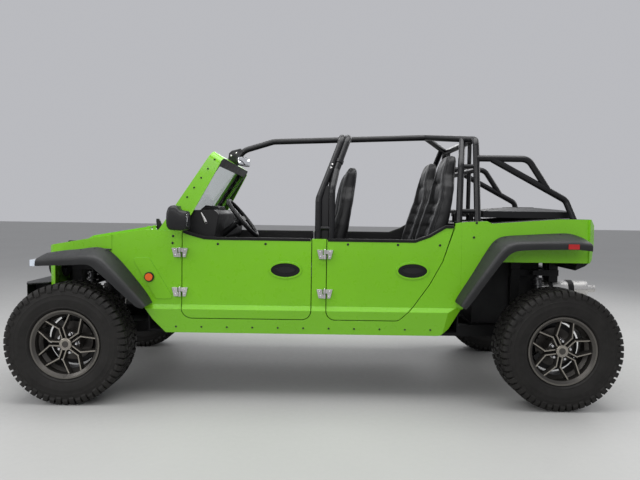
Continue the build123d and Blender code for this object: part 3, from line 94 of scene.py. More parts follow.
def cells(tree, scale):
    """Cell pattern, as in leather grain."""
    place = add_node(tree, "TexCoord", {}).outputs["Object"]
    return add_node(tree, "TexVoronoi", {"Vector": place, "Scale": scale}).outputs["Distance"]


def ramp(tree, value, low, high, from_low=0.3, from_high=0.7):
    """Spread a value between two numbers."""
    inputs = {"Value": value, "From Min": from_low, "From Max": from_high, "To Min": low, "To Max": high}
    return add_node(tree, "MapRange", inputs).outputs["Result"]


def mix_colour(tree, value, *colours):
    """Mix two colours by a value from 0 to 1."""
    first, second = ((*colour, 1) if isinstance(colour, tuple) else colour for colour in colours)
    inputs = {"Factor": value, "A": first, "B": second}
    return add_node(tree, "Mix", inputs, data_type="RGBA").outputs["Result"]


def rounded_normal(tree, radius):
    """Normal that softens sharp edges."""
    return add_node(tree, "Bevel", {"Radius": radius}, samples=4).outputs["Normal"]


def edge_mask(tree, radius):
    """1 along edges, 0 on flat faces."""
    flat = add_node(tree, "NewGeometry", {}).outputs["Normal"]
    inputs = {0: rounded_normal(tree, radius), 1: flat}
    dot = add_node(tree, "VectorMath", inputs, operation="DOT_PRODUCT")
    return ramp(tree, dot.outputs["Value"], 1.0, 0.0, 0.86, 0.99)


def bump(tree, height, distance, normal=None):
    """Bump of a real height over a normal."""
    inputs = {"Strength": 1.0, "Distance": distance, "Height": height}
    if normal is not None:
        inputs["Normal"] = normal
    return add_node(tree, "Bump", inputs).outputs["Normal"]


def look(name, colour, roughness, grain, depth, metal=0.0, coat=0.0, shade=0.1, blotch=5.0, spread=0.08,
         round_edges=0.0012, wear=None, leather=False, brushed=None, specular=0.5, coat_roughness=0.05):
    """Material with colour variation, uneven gloss, grain, and softened and worn edges."""
    material, tree, surface = shader(name)
    dark, light = (tuple(min(1.0, c * share) for c in colour) for share in (1 - shade, 1 + shade))
    tint = mix_colour(tree, ramp(tree, noise(tree, blotch), 0, 1), dark, light)
    if wear is not None:
        inputs = {0: edge_mask(tree, round_edges * 2.5), 1: ramp(tree, noise(tree, 60.0), 0, 1, 0.42, 0.62)}
        worn = add_node(tree, "Math", inputs, operation="MULTIPLY").outputs["Value"]
        tint = mix_colour(tree, worn, tint, wear)
    if leather:
        height = cells(tree, grain)
    else:
        height = noise(tree, grain, 3.0, brushed) if brushed else noise(tree, grain, 6.0)
    base = rounded_normal(tree, round_edges) if round_edges else None
    wire(tree, surface, {
        "Base Color": tint, "Metallic": metal, "Specular IOR Level": specular,
        "Roughness": ramp(tree, noise(tree, 28.0, 6.0), roughness - spread, roughness + spread),
        "Coat Weight": coat, "Coat Roughness": coat_roughness, "Normal": bump(tree, height, depth, base)})
    return material


# Name, colour, roughness, scale and depth of the grain, and what differs from the usual

LIME = (0.172, 0.475, 0.009)
paint = look("lime_paint", LIME, 0.32, 240, 0.000012, coat=0.45, specular=0.3, shade=0.035, blotch=2.0,
             round_edges=0.0035, coat_roughness=0.06)
# Darker lime on the inner sides of the pillars and of their flanges: painted shade, since those sides lie in
# shade
painted_shade_lime = look("lime_paint_painted_shade", (0.04, 0.125, 0.005), 0.42, 240, 0.000012, specular=0.25, shade=0.12,
                    blotch=3.0, round_edges=0.0025)
black_paint = look("frame_powder_coat", (0.008, 0.008, 0.0085), 0.42, 900, 0.00005, specular=0.25,
                   wear=(0.09, 0.09, 0.09))
cage_paint = look("cage_powder_coat", (0.008, 0.008, 0.009), 0.34, 700, 0.00004, coat=0.05, specular=0.3)
moulded = look("textured_plastic", (0.019, 0.0195, 0.02), 0.5, 1100, 0.00012, specular=0.3, shade=0.16,
               wear=(0.07, 0.07, 0.072), round_edges=0.003)
trim = look("trim_plastic", (0.011, 0.011, 0.012), 0.42, 1000, 0.00008, specular=0.28, shade=0.12,
            round_edges=0.002)
interior = look("interior_plastic", (0.009, 0.009, 0.0095), 0.48, 800, 0.0001, specular=0.28, shade=0.15,
                leather=True, round_edges=0.003)
floor_liner = look("floor_liner", (0.006, 0.006, 0.0065), 0.62, 500, 0.0002, specular=0.15, shade=0.2)
rubber = look("tyre_rubber", (0.0125, 0.0115, 0.0105), 0.62, 600, 0.0001, specular=0.28, shade=0.25,
              blotch=9.0, spread=0.12, round_edges=0.0008, wear=(0.035, 0.032, 0.029))
seal_rubber = look("seal_rubber", (0.006, 0.006, 0.006), 0.6, 900, 0.00005, specular=0.2)
machined = look("machined_alloy", (0.36, 0.335, 0.295), 0.3, 900, 0.00001, metal=1.0, shade=0.06,
                round_edges=0.0008, brushed=(1, 12, 1))
gunmetal = look("gunmetal_alloy", (0.075, 0.07, 0.064), 0.38, 900, 0.00003, metal=0.75, shade=0.15)
lip_alloy = look("rim_lip_alloy", (0.17, 0.16, 0.145), 0.34, 900, 0.00001, metal=1.0, shade=0.08,
                 brushed=(1, 12, 1))
disc_steel = look("disc_steel", (0.085, 0.08, 0.075), 0.4, 1400, 0.00001, metal=1.0, brushed=(1, 1, 1))
cast_alloy = look("cast_alloy", (0.07, 0.068, 0.066), 0.52, 700, 0.00012, metal=0.8)
bright_steel = look("bright_steel", (0.66, 0.66, 0.67), 0.24, 900, 0.00001, metal=1.0, shade=0.08,
                    brushed=(1, 6, 6))
zinc = look("zinc_hinge", (0.6, 0.59, 0.58), 0.34, 700, 0.00004, metal=0.9, shade=0.14, round_edges=0.0022)
exhaust = look("brushed_exhaust", (0.6, 0.59, 0.57), 0.3, 700, 0.00002, metal=1.0, shade=0.12,
               brushed=(1, 14, 14))
engine_cast = look("engine_casting", (0.03, 0.03, 0.031), 0.6, 350, 0.0004, metal=0.3, specular=0.3,
                   shade=0.25, wear=(0.2, 0.2, 0.2))
arm_paint = look("suspension_paint", (0.01, 0.01, 0.0105), 0.4, 800, 0.00004, specular=0.3, shade=0.18,
                 wear=(0.12, 0.12, 0.12))
damper = look("damper_alloy", (0.045, 0.045, 0.047), 0.34, 800, 0.00002, metal=0.6)
leather = look("seat_leather", (0.0075, 0.0075, 0.008), 0.42, 620, 0.00016, specular=0.24, shade=0.22,
               blotch=7.0, round_edges=0, leather=True)
insert_leather = look("seat_insert", (0.0105, 0.0105, 0.011), 0.52, 380, 0.00022, specular=0.2, shade=0.25,
                      blotch=9.0, round_edges=0, leather=True)
thread = look("stitch_thread", (0.1, 0.1, 0.105), 0.7, 1500, 0.00005, round_edges=0)
amber = look("amber_lens", (0.8, 0.13, 0.008), 0.22, 300, 0.0002, coat=0.8, shade=0.1)
red_lens = look("red_lens", (0.42, 0.008, 0.008), 0.2, 260, 0.0003, coat=0.9, shade=0.12)
clear_lens = look("clear_lens", (0.62, 0.68, 0.76), 0.12, 220, 0.0005, coat=1.0, shade=0.12)
chrome = look("lamp_reflector", (0.8, 0.81, 0.83), 0.1, 300, 0.00004, metal=1.0, spread=0.04)
dial = look("gauge_face", (0.02, 0.02, 0.022), 0.4, 500, 0.00002, round_edges=0)
dial_marks = look("gauge_marks", (0.75, 0.75, 0.72), 0.5, 500, 0.00002, round_edges=0)
mirror_glass = look("mirror_glass", (0.82, 0.84, 0.86), 0.04, 40, 0.000004, metal=1.0, spread=0.02,
                    round_edges=0)


def pane_material():
    """Clear windshield glass with uneven gloss."""
    material, tree, surface = shader("windshield_pane")
    wire(tree, surface, {
        "Base Color": (0.9, 0.95, 0.93, 1), "Transmission Weight": 1.0, "IOR": 1.1,
        "Roughness": ramp(tree, noise(tree, 18.0), 0.01, 0.08),
        "Normal": bump(tree, noise(tree, 6.0), 0.00003)})
    return material


pane_glass = pane_material()


# Materials of the CAD nodes

def coat_node(name, material, *others):
    """Give a node its material, and the others where their test of a face's centre and normal holds."""
    mesh = nodes[name].data
    mesh.materials.clear()
    for each in (material, *(other for other, test in others)):
        mesh.materials.append(each)
    for face in mesh.polygons:
        face.material_index = next((slot for slot, (other, test) in enumerate(others, 1)
                                    if test(face.center, face.normal)), 0)


HINGE_Z = (0.919, 0.675)
HINGE_X = {end: JOINT_AT["door_" + end + "_left_hinge"].x for end in ("front", "rear")}
HINGE_HALF_W = 0.052
HINGE_HALF_H = 0.03
HANDLES = {"front": (-0.185, 0.818), "rear": (0.603, 0.824)}
HANDLE_HALF = (0.09, 0.043)


def on_hinge(centre, normal):
    """Leaves and barrels of the door hinges."""
    if abs(centre.y) < SIDE_Y + 0.0003 and (abs(normal.y) > 0.5 or abs(centre.y) < SIDE_Y - 0.009):
        return False
    near_x = any(abs(centre.x - x) < HINGE_HALF_W for x in HINGE_X.values())
    near_z = any(abs(centre.z - z) < HINGE_HALF_H for z in HINGE_Z)
    return near_x and near_z and abs(centre.y) > SIDE_Y - 0.009


def in_handle(end):
    """Recess of a door handle with its paddle."""
    handle_x, handle_z = HANDLES[end]

    def test(centre, normal):
        across = ((centre.x - handle_x) / HANDLE_HALF[0]) ** 2 + ((centre.z - handle_z) / HANDLE_HALF[1]) ** 2
        return across < 1.03 and SIDE_Y - 0.03 < abs(centre.y) < SIDE_Y + 0.0005
    return test


def faces_in(centre, normal):
    """Inner face of a body side."""
    return normal.y * centre.y < -0.3 * abs(centre.y) and abs(centre.y) < SIDE_Y - 0.025


for end in ("front", "rear"):
    for side in SIDE_NAMES.values():
        coat_node("door_" + end + "_" + side, paint,
                  (zinc, on_hinge), (trim, in_handle(end)), (interior, faces_in))
coat_node("body_shell", paint, (zinc, on_hinge), (interior, faces_in))


def inner_ledge(centre, normal):
    """Ledges under the deck cover's edge and between the legs of the rear cage."""
    top = normal.z > 0.5 and centre.z > 1.09 and abs(centre.y) < 0.625
    return centre.x < REAR_X + 0.22 and (top or (centre.z > 1.02 and abs(centre.y) < 0.612))


coat_node("rear_shell", paint, (interior, faces_in), (trim, inner_ledge))

FRAME_ORIGIN = Vector((-0.974, 0, 1.06))
FRAME_UP = Vector((0.5495, 0, 0.8355))
FRAME_OUT = Vector((-0.8355, 0, 0.5495))
FRAME_FOOT_Y = 0.64
FRAME_TAPER = 0.038 / 0.62


def header_trim(centre, normal):
    """Rear side of the frame and the underside of its header."""
    up = (centre - FRAME_ORIGIN).dot(FRAME_UP)
    return normal.dot(FRAME_OUT) < -0.5 or (normal.dot(FRAME_UP) < -0.5 and up > 0.4)


def pillar_inside(centre, normal):
    """Inner sides of the pillars, which take the darker lime as painted shade."""
    return normal.y * centre.y < -0.3 * abs(centre.y) and abs(centre.y) < FRAME_FOOT_Y - 0.03


# The inner sides of the pillars take the darker lime, a painted shade
coat_node("windshield_frame", paint, (interior, header_trim), (painted_shade_lime, pillar_inside))

PLAIN_NODES = (
    (paint, "front_clip", "hood"),
    (pane_glass, "windshield_glass"),
    (black_paint, "chassis_frame", "front_towers", "rear_towers", "controls"),
    (cage_paint, "cab_hoop", "roof_spine", "rear_cage", "rear_braces"),
    (floor_liner, "body_tub"),
    (interior, "dashboard", "steering_wheel"),
    (trim, "deck_cover"),
    (moulded, "front_bumper"),
    (engine_cast, "engine_block"),
    (cast_alloy, "knuckle_left", "knuckle_right"),
)
for material, *names in PLAIN_NODES:
    for name in names:
        coat_node(name, material)

AMBER_R = 0.0235
MARKER_X, MARKER_Z = FRONT_X + 0.464, 0.765
coat_node("front_lamps", clear_lens,
          (amber, lambda c, n: abs(c.y) > 0.6745 and max(abs(c.x - MARKER_X), abs(c.z - MARKER_Z)) < AMBER_R),
          (trim, lambda c, n: abs(c.x - MARKER_X) < 0.05),
          (chrome, lambda c, n: abs(c.y) < 0.45 and n.x > -0.5))
coat_node("rear_lamps", red_lens, (trim, lambda c, n: c.x < REAR_X + 0.2 and abs(n.y) < 0.5))

MUFFLER_AXIS = (-0.3, 0.68)


def muffler_band(centre, normal):
    """Dark clamps round the can, and its ends."""
    radius = math.hypot(centre.y - MUFFLER_AXIS[0], centre.z - MUFFLER_AXIS[1])
    return radius > 0.0556 or abs(normal.x) > 0.9 or centre.x < REAR_X + 0.029


coat_node("muffler", exhaust, (black_paint, muffler_band))


def wheel_place(centre):
    """How far a point lies outside its wheel's middle plane and from its axle line."""
    outer = abs(centre.y) - abs(HUBS["front_left"].y)
    return outer, min(math.hypot(centre.x - hub.x, centre.z - hub.z) for hub in HUBS.values())


def rim_lip(centre, normal):
    """Duller front of the rim's lip."""
    return abs(normal.y) > 0.9 and wheel_place(centre)[0] > 0.078


def rim_face(centre, normal):
    """Machined front of the spokes and cap."""
    return rim_lip(centre, normal) and wheel_place(centre)[1] < 0.178


def brake_disc(centre, normal):
    """Disc behind the spokes."""
    outer, radius = wheel_place(centre)
    return 0.06 < radius < 0.121 and -0.04 < outer < -0.005


for corner in CORNERS:
    coat_node("wheel_" + corner, gunmetal,
              (machined, rim_face), (disc_steel, brake_disc), (lip_alloy, rim_lip))


def on_shock(centre, normal):
    """Damper bodies and springs."""
    from_axle = min(abs(centre.x - FRONT_X), abs(centre.x - REAR_X))
    return 0.37 < abs(centre.y) < 0.53 and centre.z > 0.42 and from_axle < 0.05


for name in ("front_suspension", "rear_suspension"):
    coat_node(name, arm_paint, (damper, on_shock))


# Shapes for the added pieces

class Shape:
    """Growing list of points and faces, with a material number per face."""

    def __init__(self):
        self.points = []
        self.faces = []
        self.slots = []

    def face(self, corners, slot=0):
        """One face by its point numbers."""
        self.faces.append(tuple(corners))
        self.slots.append(slot)

    def loft(self, rings, slot=0, joined=False):
        """Skin over rings of equal count, capped, or with its last ring joined to the first."""
        start = len(self.points)
        count = len(rings[0])
        for points in rings:
            self.points.extend(Vector(point) for point in points)
        last = len(rings) if joined else len(rings) - 1
        for row in range(last):
            below = start + row * count
            above = start + (row + 1) % len(rings) * count
            for k in range(count):
                after = (k + 1) % count
                self.face((below + k, below + after, above + after, above + k), slot)
        if not joined:
            top = start + (len(rings) - 1) * count
            self.face(range(start, start + count), slot)
            self.face(range(top, top + count), slot)

    def turned(self, at, axis, profile, segments=24, slot=0):
        """Body turned about an axis; the profile lists (along, radius)."""
        self.loft([circle(Vector(at) + Vector(axis).normalized() * along, axis, radius, segments)
                   for along, radius in profile], slot)

    def pipe(self, path, radius, segments=10, slot=0, looped=False):
        """Round bar along a list of points."""
        path = [Vector(point) for point in path]
        rings = []
        count = len(path)
        side = None
        for k, point in enumerate(path):
            before = path[k - 1] if k or looped else point
            after = path[(k + 1) % count] if k < count - 1 or looped else point
            along = (after - before).normalized()
            if side is None:
                side = along.orthogonal().normalized()
            side = (side - along * side.dot(along)).normalized()
            up = along.cross(side)
            rings.append(ring_of(point, side, up, radius, segments))
        self.loft(rings, slot, joined=looped)

    def slab(self, corner_low, corner_high, edge, slot=0):
        """Block with its edges cut."""
        low, high = Vector(corner_low), Vector(corner_high)
        rings = []
        for z, inset in ((low.z, edge), (low.z + edge, 0), (high.z - edge, 0), (high.z, edge)):
            x0, x1 = low.x + inset, high.x - inset
            y0, y1 = low.y + inset, high.y - inset
            rings.append([(x0 + edge, y0, z), (x1 - edge, y0, z), (x1, y0 + edge, z), (x1, y1 - edge, z),
                          (x1 - edge, y1, z), (x0 + edge, y1, z), (x0, y1 - edge, z), (x0, y0 + edge, z)])
        self.loft(rings, slot)


def ring_of(at, side, up, radius, segments):
    """Ring of points in the plane of two directions."""
    angles = [2 * math.pi * k / segments for k in range(segments)]
    return [at + radius * (math.cos(a) * side + math.sin(a) * up) for a in angles]


def circle(at, axis, radius, segments=24):
    """Ring of points about an axis."""
    axis = Vector(axis).normalized()
    helper = Vector((0, 0, 1)) if abs(axis.z) < 0.9 else Vector((1, 0, 0))
    side = helper.cross(axis).normalized()
    up = axis.cross(side)
    return ring_of(Vector(at), side, up, radius, segments)


def build(name, shape, *materials, sharp=35.0):
    """Object from a shape, with its faces turned outwards."""
    mesh = bpy.data.meshes.new(name)
    mesh.from_pydata([tuple(point) for point in shape.points], [], shape.faces)
    for material in materials:
        mesh.materials.append(material)
    mesh.polygons.foreach_set("material_index", shape.slots)
    work = bmesh.new()
    work.from_mesh(mesh)
    bmesh.ops.recalc_face_normals(work, faces=work.faces)
    work.to_mesh(mesh)
    work.free()
    mesh.shade_smooth()
    mesh.set_sharp_from_angle(angle=math.radians(sharp))
    piece = bpy.data.objects.new(name, mesh)
    scene.collection.objects.link(piece)
    return piece


def add(name, shape, *materials, sharp=35.0, body="base"):
    """Piece built from a shape, riding on a body."""
    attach(build(name, shape, *materials, sharp=sharp), body)


def same_as(source, name, mesh=None):
    """The source itself where the name is its own, else another object with its mesh or a given one."""
    if source.name == name:
        return source
    piece = bpy.data.objects.new(name, mesh or source.data)
    scene.collection.objects.link(piece)
    return piece


def at_hub(name, source, corner, turn=0.0):
    """Copy of a wheel piece, built about the origin with its outer face to -Y, set on one hub."""
    piece = same_as(source, name)
    half_turn = math.pi if HUBS[corner].y > 0 else 0.0
    piece.matrix_world = (Matrix.Translation(HUBS[corner]) @ Matrix.Rotation(half_turn, 4, "Z")
                          @ Matrix.Rotation(math.radians(turn), 4, "Y"))
    return piece


# Tyres: carcass with plain sidewalls, shoulder lugs over the corner and split blocks along the middle

WALL = (
    # axial place, radius
    (0.074, 0.1918), (0.0885, 0.1910), (0.0925, 0.2060), (0.0965, 0.2130), (0.1030, 0.2170),
    (0.1080, 0.2215), (0.1092, 0.2260), (0.1085, 0.2290), (0.1118, 0.2400), (0.1145, 0.2520),
    (0.1160, 0.2640), (0.1170, 0.2720), (0.1174, 0.2745), (0.1168, 0.2770), (0.1160, 0.2900),
    (0.1148, 0.2990), (0.1152, 0.3010), (0.1152, 0.3035), (0.1140, 0.3050), (0.1112, 0.3220),
    (0.1070, 0.3370), (0.0985, 0.3480), (0.0840, 0.3545), (0.0400, 0.3565),
)
TYRE_INSIDE = ((-0.098, 0.266), (-0.08, 0.334), (0.08, 0.334), (0.098, 0.266))
SHOULDER_TOP = (
    (0.058, 0.3652), (0.074, 0.3664), (0.0960, 0.3664), (0.1050, 0.3630), (0.1110, 0.3540),
    (0.1148, 0.3400), (0.1160, 0.3260),
)
SHOULDER_BASE = (
    (0.058, 0.3470), (0.074, 0.3460), (0.0900, 0.3400), (0.0980, 0.3320), (0.1040, 0.3240),
    (0.1070, 0.3170), (0.1095, 0.3120),
)
CENTRE_TOP = ((0.003, 0.3666), (0.018, 0.3668), (0.036, 0.3666), (0.051, 0.3656))
CENTRE_BASE = ((0.003, 0.3480), (0.018, 0.3480), (0.036, 0.3475), (0.051, 0.3470))
SHOULDER_LUGS = 54
CENTRE_BLOCKS = 36
LUG_INSET = 0.003
LUG_CHAMFER = 0.0016


def wheel_point(axial, radius, angle):
    """Point of a wheel by axial place, radius and angle about the hub."""
    return Vector((radius * math.cos(angle), axial, radius * math.sin(angle)))


def lug(shape, side, top, base, start, width, skew):
    """Tapered rubber block between two angles, its edges cut."""
    rows = []
    for (top_a, top_r), (base_a, base_r) in zip(top, base):
        shift = start + skew * top_a
        cut_r = top_r - LUG_CHAMFER
        rows.append([wheel_point(side * a, r, shift + t) for a, r, t in (
            (base_a, base_r, 0.0), (top_a - 0.0004, cut_r, LUG_INSET * 0.8), (top_a, top_r, LUG_INSET * 1.5),
            (top_a, top_r, width - LUG_INSET * 1.5), (top_a - 0.0004, cut_r, width - LUG_INSET * 0.8),
            (base_a, base_r, width))])
    shape.loft(rows)


def tyre_shape():
    """Whole tyre about the origin, its axle along Y."""
    shape = Shape()
    profile = [(-a, r) for a, r in WALL] + [(a, r) for a, r in reversed(WALL)]
    profile += [(a, r) for a, r in reversed(TYRE_INSIDE)]
    segments = 144
    shape.loft([[wheel_point(a, r, 2 * math.pi * k / segments) for a, r in profile]
                for k in range(segments)], joined=True)
    for side in SIDES:
        step = 2 * math.pi / SHOULDER_LUGS
        for k in range(SHOULDER_LUGS):
            start = k * step + (step / 2 if side > 0 else 0)
            first = 0 if k % 2 else 1
            last = 7 if k % 2 else 6
            lug(shape, side, SHOULDER_TOP[first:last], SHOULDER_BASE[first:last], start, step * 0.76, 0.25)
        step = 2 * math.pi / CENTRE_BLOCKS
        for k in range(CENTRE_BLOCKS):
            start = k * step + (step / 2 if side > 0 else 0)
            for half in (0, 1):
                lug(shape, side, CENTRE_TOP, CENTRE_BASE, start + half * step * 0.39, step * 0.355, -0.9)
    return shape


tyre_piece = build("tyre_front_left_tread", tyre_shape(), rubber, sharp=28.0)
for corner in CORNERS:
    piece = at_hub("tyre_" + corner + "_tread", tyre_piece, corner)
    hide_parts("tyre_" + corner)
    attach(piece, "wheel_" + corner + "_body")

# Wheel trim: nuts, cap and valve

SPOKE_TURN = {"front": -17.4, "rear": -26.5}
BOLT_CIRCLE_R = 0.057
VALVE_R = 0.16


def wheel_trim_shape():
    """Nuts, centre cap and valve about the origin."""
    shape = Shape()
    out = Vector((0, -1, 0))
    for k in range(5):
        nut = wheel_point(0, BOLT_CIRCLE_R, math.radians(54 + 72 * k))
        shape.turned(nut, out, ((0.052, 0.0125), (0.0545, 0.0125), (0.056, 0.011)), 20)
        shape.turned(nut, out, ((0.055, 0.0108), (0.07, 0.0108), (0.0725, 0.0092)), 6)
        shape.turned(nut, out, ((0.072, 0.008), (0.076, 0.0068), (0.0775, 0.003)), 16)
    cap_ring = ((0.088, 0.0345), (0.0925, 0.0345), (0.0935, 0.033), (0.0925, 0.03))
    cap = ((0.088, 0.029), (0.0915, 0.0285), (0.0925, 0.02), (0.093, 0.004))
    shape.turned((0, 0, 0), out, cap_ring, 40, 1)
    shape.turned((0, 0, 0), out, cap, 40, 2)
    valve = ((0.04, 0.0065), (0.052, 0.0055), (0.054, 0.004), (0.068, 0.004), (0.0685, 0.0048),
             (0.08, 0.0048), (0.082, 0.0035))
    shape.turned(wheel_point(0, VALVE_R, math.radians(90 + 36)), out, valve, 14, 3)
    return shape


trim_piece = build("wheel_front_left_trim", wheel_trim_shape(), bright_steel, machined, gunmetal, seal_rubber)
for corner in CORNERS:
    piece = at_hub("wheel_" + corner + "_trim", trim_piece, corner, SPOKE_TURN[corner.split("_")[0]])
    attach(piece, "wheel_" + corner + "_body")

# Dust shields behind the brake discs

shape = Shape()
SHIELD = ((-0.053, 0.152), (-0.047, 0.153), (-0.0465, 0.1515), (-0.05, 0.149), (-0.05, 0.05),
          (-0.0515, 0.0485))
shape.turned((0, 0, 0), (0, -1, 0), SHIELD, 64)
shield = build("dust_shield_front_left", shape, arm_paint, sharp=40.0)
for corner in CORNERS:
    piece = at_hub("dust_shield_" + corner, shield, corner)
    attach(piece, "base" if corner.startswith("rear") else "knuckle_" + corner.split("_")[1] + "_body")

# Seats: back and cushion with sewn channels and side bolsters, filled by a pressure cloth

SEAT_PLACES = {
    # X shift, Y, Z shift
    "front_left": (0.120, -0.300, 0.0),
    "front_right": (0.120, 0.300, 0.0),
    "rear_left": (0.757, -0.300, 0.090),
    "rear_right": (0.757, 0.300, 0.090),
}
BACK_LEVELS = (
    # Z, front X, rear X, half width, depth of the insert behind the bolsters
    (0.650, -0.108, 0.010, 0.212, 0.000),
    (0.700, -0.116, 0.026, 0.232, 0.012),
    (0.800, -0.098, 0.042, 0.246, 0.034),
    (0.900, -0.072, 0.058, 0.249, 0.044),
    (1.000, -0.042, 0.082, 0.250, 0.044),
    (1.100, -0.010, 0.100, 0.246, 0.040),
    (1.190, 0.018, 0.113, 0.232, 0.032),
    (1.260, 0.028, 0.126, 0.208, 0.024),
    (1.318, 0.037, 0.134, 0.168, 0.016),
    (1.350, 0.044, 0.139, 0.146, 0.010),
    (1.400, 0.058, 0.145, 0.138, 0.006),
    (1.440, 0.072, 0.149, 0.128, 0.002),
    (1.468, 0.086, 0.146, 0.104, 0.000),
    (1.480, 0.100, 0.136, 0.070, 0.000),
)
CUSHION_LEVELS = (
    # X, top Z, underside Z, half width, depth of the insert below the bolsters
    (-0.545, 0.712, 0.655, 0.196, 0.000),
    (-0.535, 0.752, 0.635, 0.224, 0.004),
    (-0.505, 0.783, 0.625, 0.234, 0.012),
    (-0.450, 0.792, 0.622, 0.236, 0.022),
    (-0.350, 0.790, 0.620, 0.236, 0.034),
    (-0.250, 0.782, 0.620, 0.236, 0.040),
    (-0.150, 0.770, 0.620, 0.234, 0.040),
    (-0.100, 0.752, 0.625, 0.226, 0.030),
    (-0.085, 0.722, 0.645, 0.206, 0.010),
)
AROUND = 72
SQUARENESS = 0.62
INSERT_EDGE = 0.62
BACK_SEAMS = (0.76, 0.84, 0.92, 1.0, 1.08, 1.16, 1.3)
CUSHION_SEAMS = (-0.47, -0.4, -0.33, -0.26, -0.19)
CHANNEL_DEPTH = 0.009
PIPING_R = 0.0034
AIR = {"quality": 5, "mass": 0.3, "tension_stiffness": 12, "compression_stiffness": 12,
       "bending_stiffness": 0.4, "use_pressure": True, "uniform_pressure_force": 4.0,
       "vertex_group_mass": "seams"}
AIR_STEPS = 20
REAR_CUT = 0.1
CUT_FROM_X = -0.3
REAR_LEAN = 0.02


def levels_at(table, value):
    """Row of a table between its stations, eased."""
    for low, high in zip(table, table[1:]):
        if low[0] <= value <= high[0]:
            t = (value - low[0]) / (high[0] - low[0])
            t = 0.5 * t + 0.5 * t * t * (3 - 2 * t)
            return [a + (b - a) * t for a, b in zip(low[1:], high[1:])]
    return list(table[-1][1:])


def across_at(k, half):
    """Place across a pad's section at one of its columns."""
    s = math.sin(2 * math.pi * k / AROUND)
    return half * math.copysign(abs(s) ** SQUARENESS, s)


def facing_at(k):
    """1 at the middle of a section's far side, -1 at the middle of the side sat on."""
    return math.cos(2 * math.pi * k / AROUND)


def section_points(near, far, half, dip, seam):
    """Loop of (depth, across): far side, side, bolster, insert and back again; near is the sat-on side."""
    loop = []
    for k in range(AROUND):
        c = facing_at(k)
        across = across_at(k, half)
        thick = (far - near) / 2
        depth = (near + far) / 2 + thick * math.copysign(abs(c) ** 0.55, c)
        if c < 0:
            inner = max(0.0, 1 - (abs(across) / (half * INSERT_EDGE)) ** 6)
            depth += dip * min(1.0, inner * 1.4) + seam * (1 if abs(across) < half * INSERT_EDGE else 0)
        loop.append((depth, across))
    return loop


def padded_shell(name, table, seams, step, place, ease, facing=1):
    """Closed pad from its stations, pinned along its seams and swollen by air inside."""
    first, last = table[0][0], table[-1][0]
    count = round((last - first) / step)
    stations = [first + (last - first) * k / count for k in range(count + 1)]
    on_seam = [min(abs(value - seam) for seam in seams) < step * 0.51 for value in stations]
    shape = Shape()
    rings = []
    for value, sewn in zip(stations, on_seam):
        near, far, half, dip = levels_at(table, value)
        section = section_points(facing * near, facing * far, half, dip, CHANNEL_DEPTH if sewn else 0.0)
        rings.append([place(value, depth, across) for depth, across in section])
    shape.loft(rings)
    pad = build(name, shape, leather, insert_leather, sharp=180.0)
    pins = pad.vertex_groups.new(name="seams")
    held = []
    for row, value in enumerate(stations):
        half = levels_at(table, value)[2]
        for k in range(AROUND):
            c = facing_at(k)
            edge = abs(across_at(k, half)) - half * INSERT_EDGE
            if c > 0.1 or (c < 0 and (abs(edge) < 0.007 or (on_seam[row] and edge < 0))):
                held.append(row * AROUND + k)
    pins.add(held, 1.0, "REPLACE")
    rest = [vertex.co.copy() for vertex in pad.data.vertices]
    cloth = pad.modifiers.new("air", "CLOTH")
    for name, value in AIR.items():
        setattr(cloth.settings, name, value)
    cloth.settings.effector_weights.gravity = 0.0
    cloth.collision_settings.use_collision = False
    cloth.point_cache.frame_start = 1
    cloth.point_cache.frame_end = AIR_STEPS
    moved = rest
    for moment in range(1, AIR_STEPS + 1):
        scene.frame_set(moment)
    graph = bpy.context.evaluated_depsgraph_get()
    swollen = pad.evaluated_get(graph).to_mesh()
    moved = [vertex.co.copy() for vertex in swollen.vertices]
    pad.evaluated_get(graph).to_mesh_clear()
    pad.modifiers.remove(cloth)
    for vertex, old, new in zip(pad.data.vertices, rest, moved):
        run = new - old
        if run.length > ease:
            run = run.normalized() * ease
        vertex.co = old + run
    for polygon in pad.data.polygons:
        k = polygon.index % AROUND + 0.5
        if len(polygon.vertices) == 4 and facing_at(k) < 0 and abs(across_at(k, 1)) < INSERT_EDGE:
            polygon.material_index = 1
    places = [vertex.co.copy() for vertex in pad.data.vertices]
    grid = [places[row * AROUND:(row + 1) * AROUND] for row in range(len(stations))]
    smooth = pad.modifiers.new("smooth", "SUBSURF")
    smooth.levels = 1
    smooth.render_levels = 1
    graph = bpy.context.evaluated_depsgraph_get()
    final = bpy.data.meshes.new_from_object(pad.evaluated_get(graph))
    pad.modifiers.remove(smooth)
    final.shade_smooth()
    pad.data = final
    return pad, grid


def column(across_part):
    """Column of the section's front nearest to a share of the half width."""
    front_columns = [k for k in range(AROUND // 4, AROUND // 2 + 1) if facing_at(k) < 0]
    return min(front_columns, key=lambda k: abs(abs(across_at(k, 1)) - across_part))


def seat_trim(grid, name):
    """Piping along the bolsters and stitches beside the insert."""
    shape = Shape()
    crest = column(0.93)
    seam = column(INSERT_EDGE)
    for k in (crest, AROUND - crest):
        shape.pipe([row[k] for row in grid[2:-1]], PIPING_R, 8)
    for k in (seam, AROUND - seam):
        path = [row[k] for row in grid[2:-2]]
        for low, high in zip(path, path[1:]):
            run = high - low
            for part in (0.1, 0.6):
                start = low + run * part
                shape.pipe([start, start + run * 0.34], 0.0009, 5, 1)
    return build(name, shape, leather, thread, sharp=60.0)


def seat_pan_shape():
    """Moulded pan and its rails under the cushion."""
    shape = Shape()
    shape.slab((-0.52, -0.226, 0.596), (-0.095, 0.226, 0.64), 0.012)
    for y in (-0.17, 0.17):
        shape.slab((-0.5, y - 0.016, 0.562), (-0.11, y + 0.016, 0.6), 0.004, 1)
    for side in SIDES:
        shape.turned((-0.085, side * 0.205, 0.668), (0, side, 0),
                     ((-0.01, 0.034), (0.028, 0.034), (0.034, 0.028), (0.036, 0.01)), 28)
    return shape


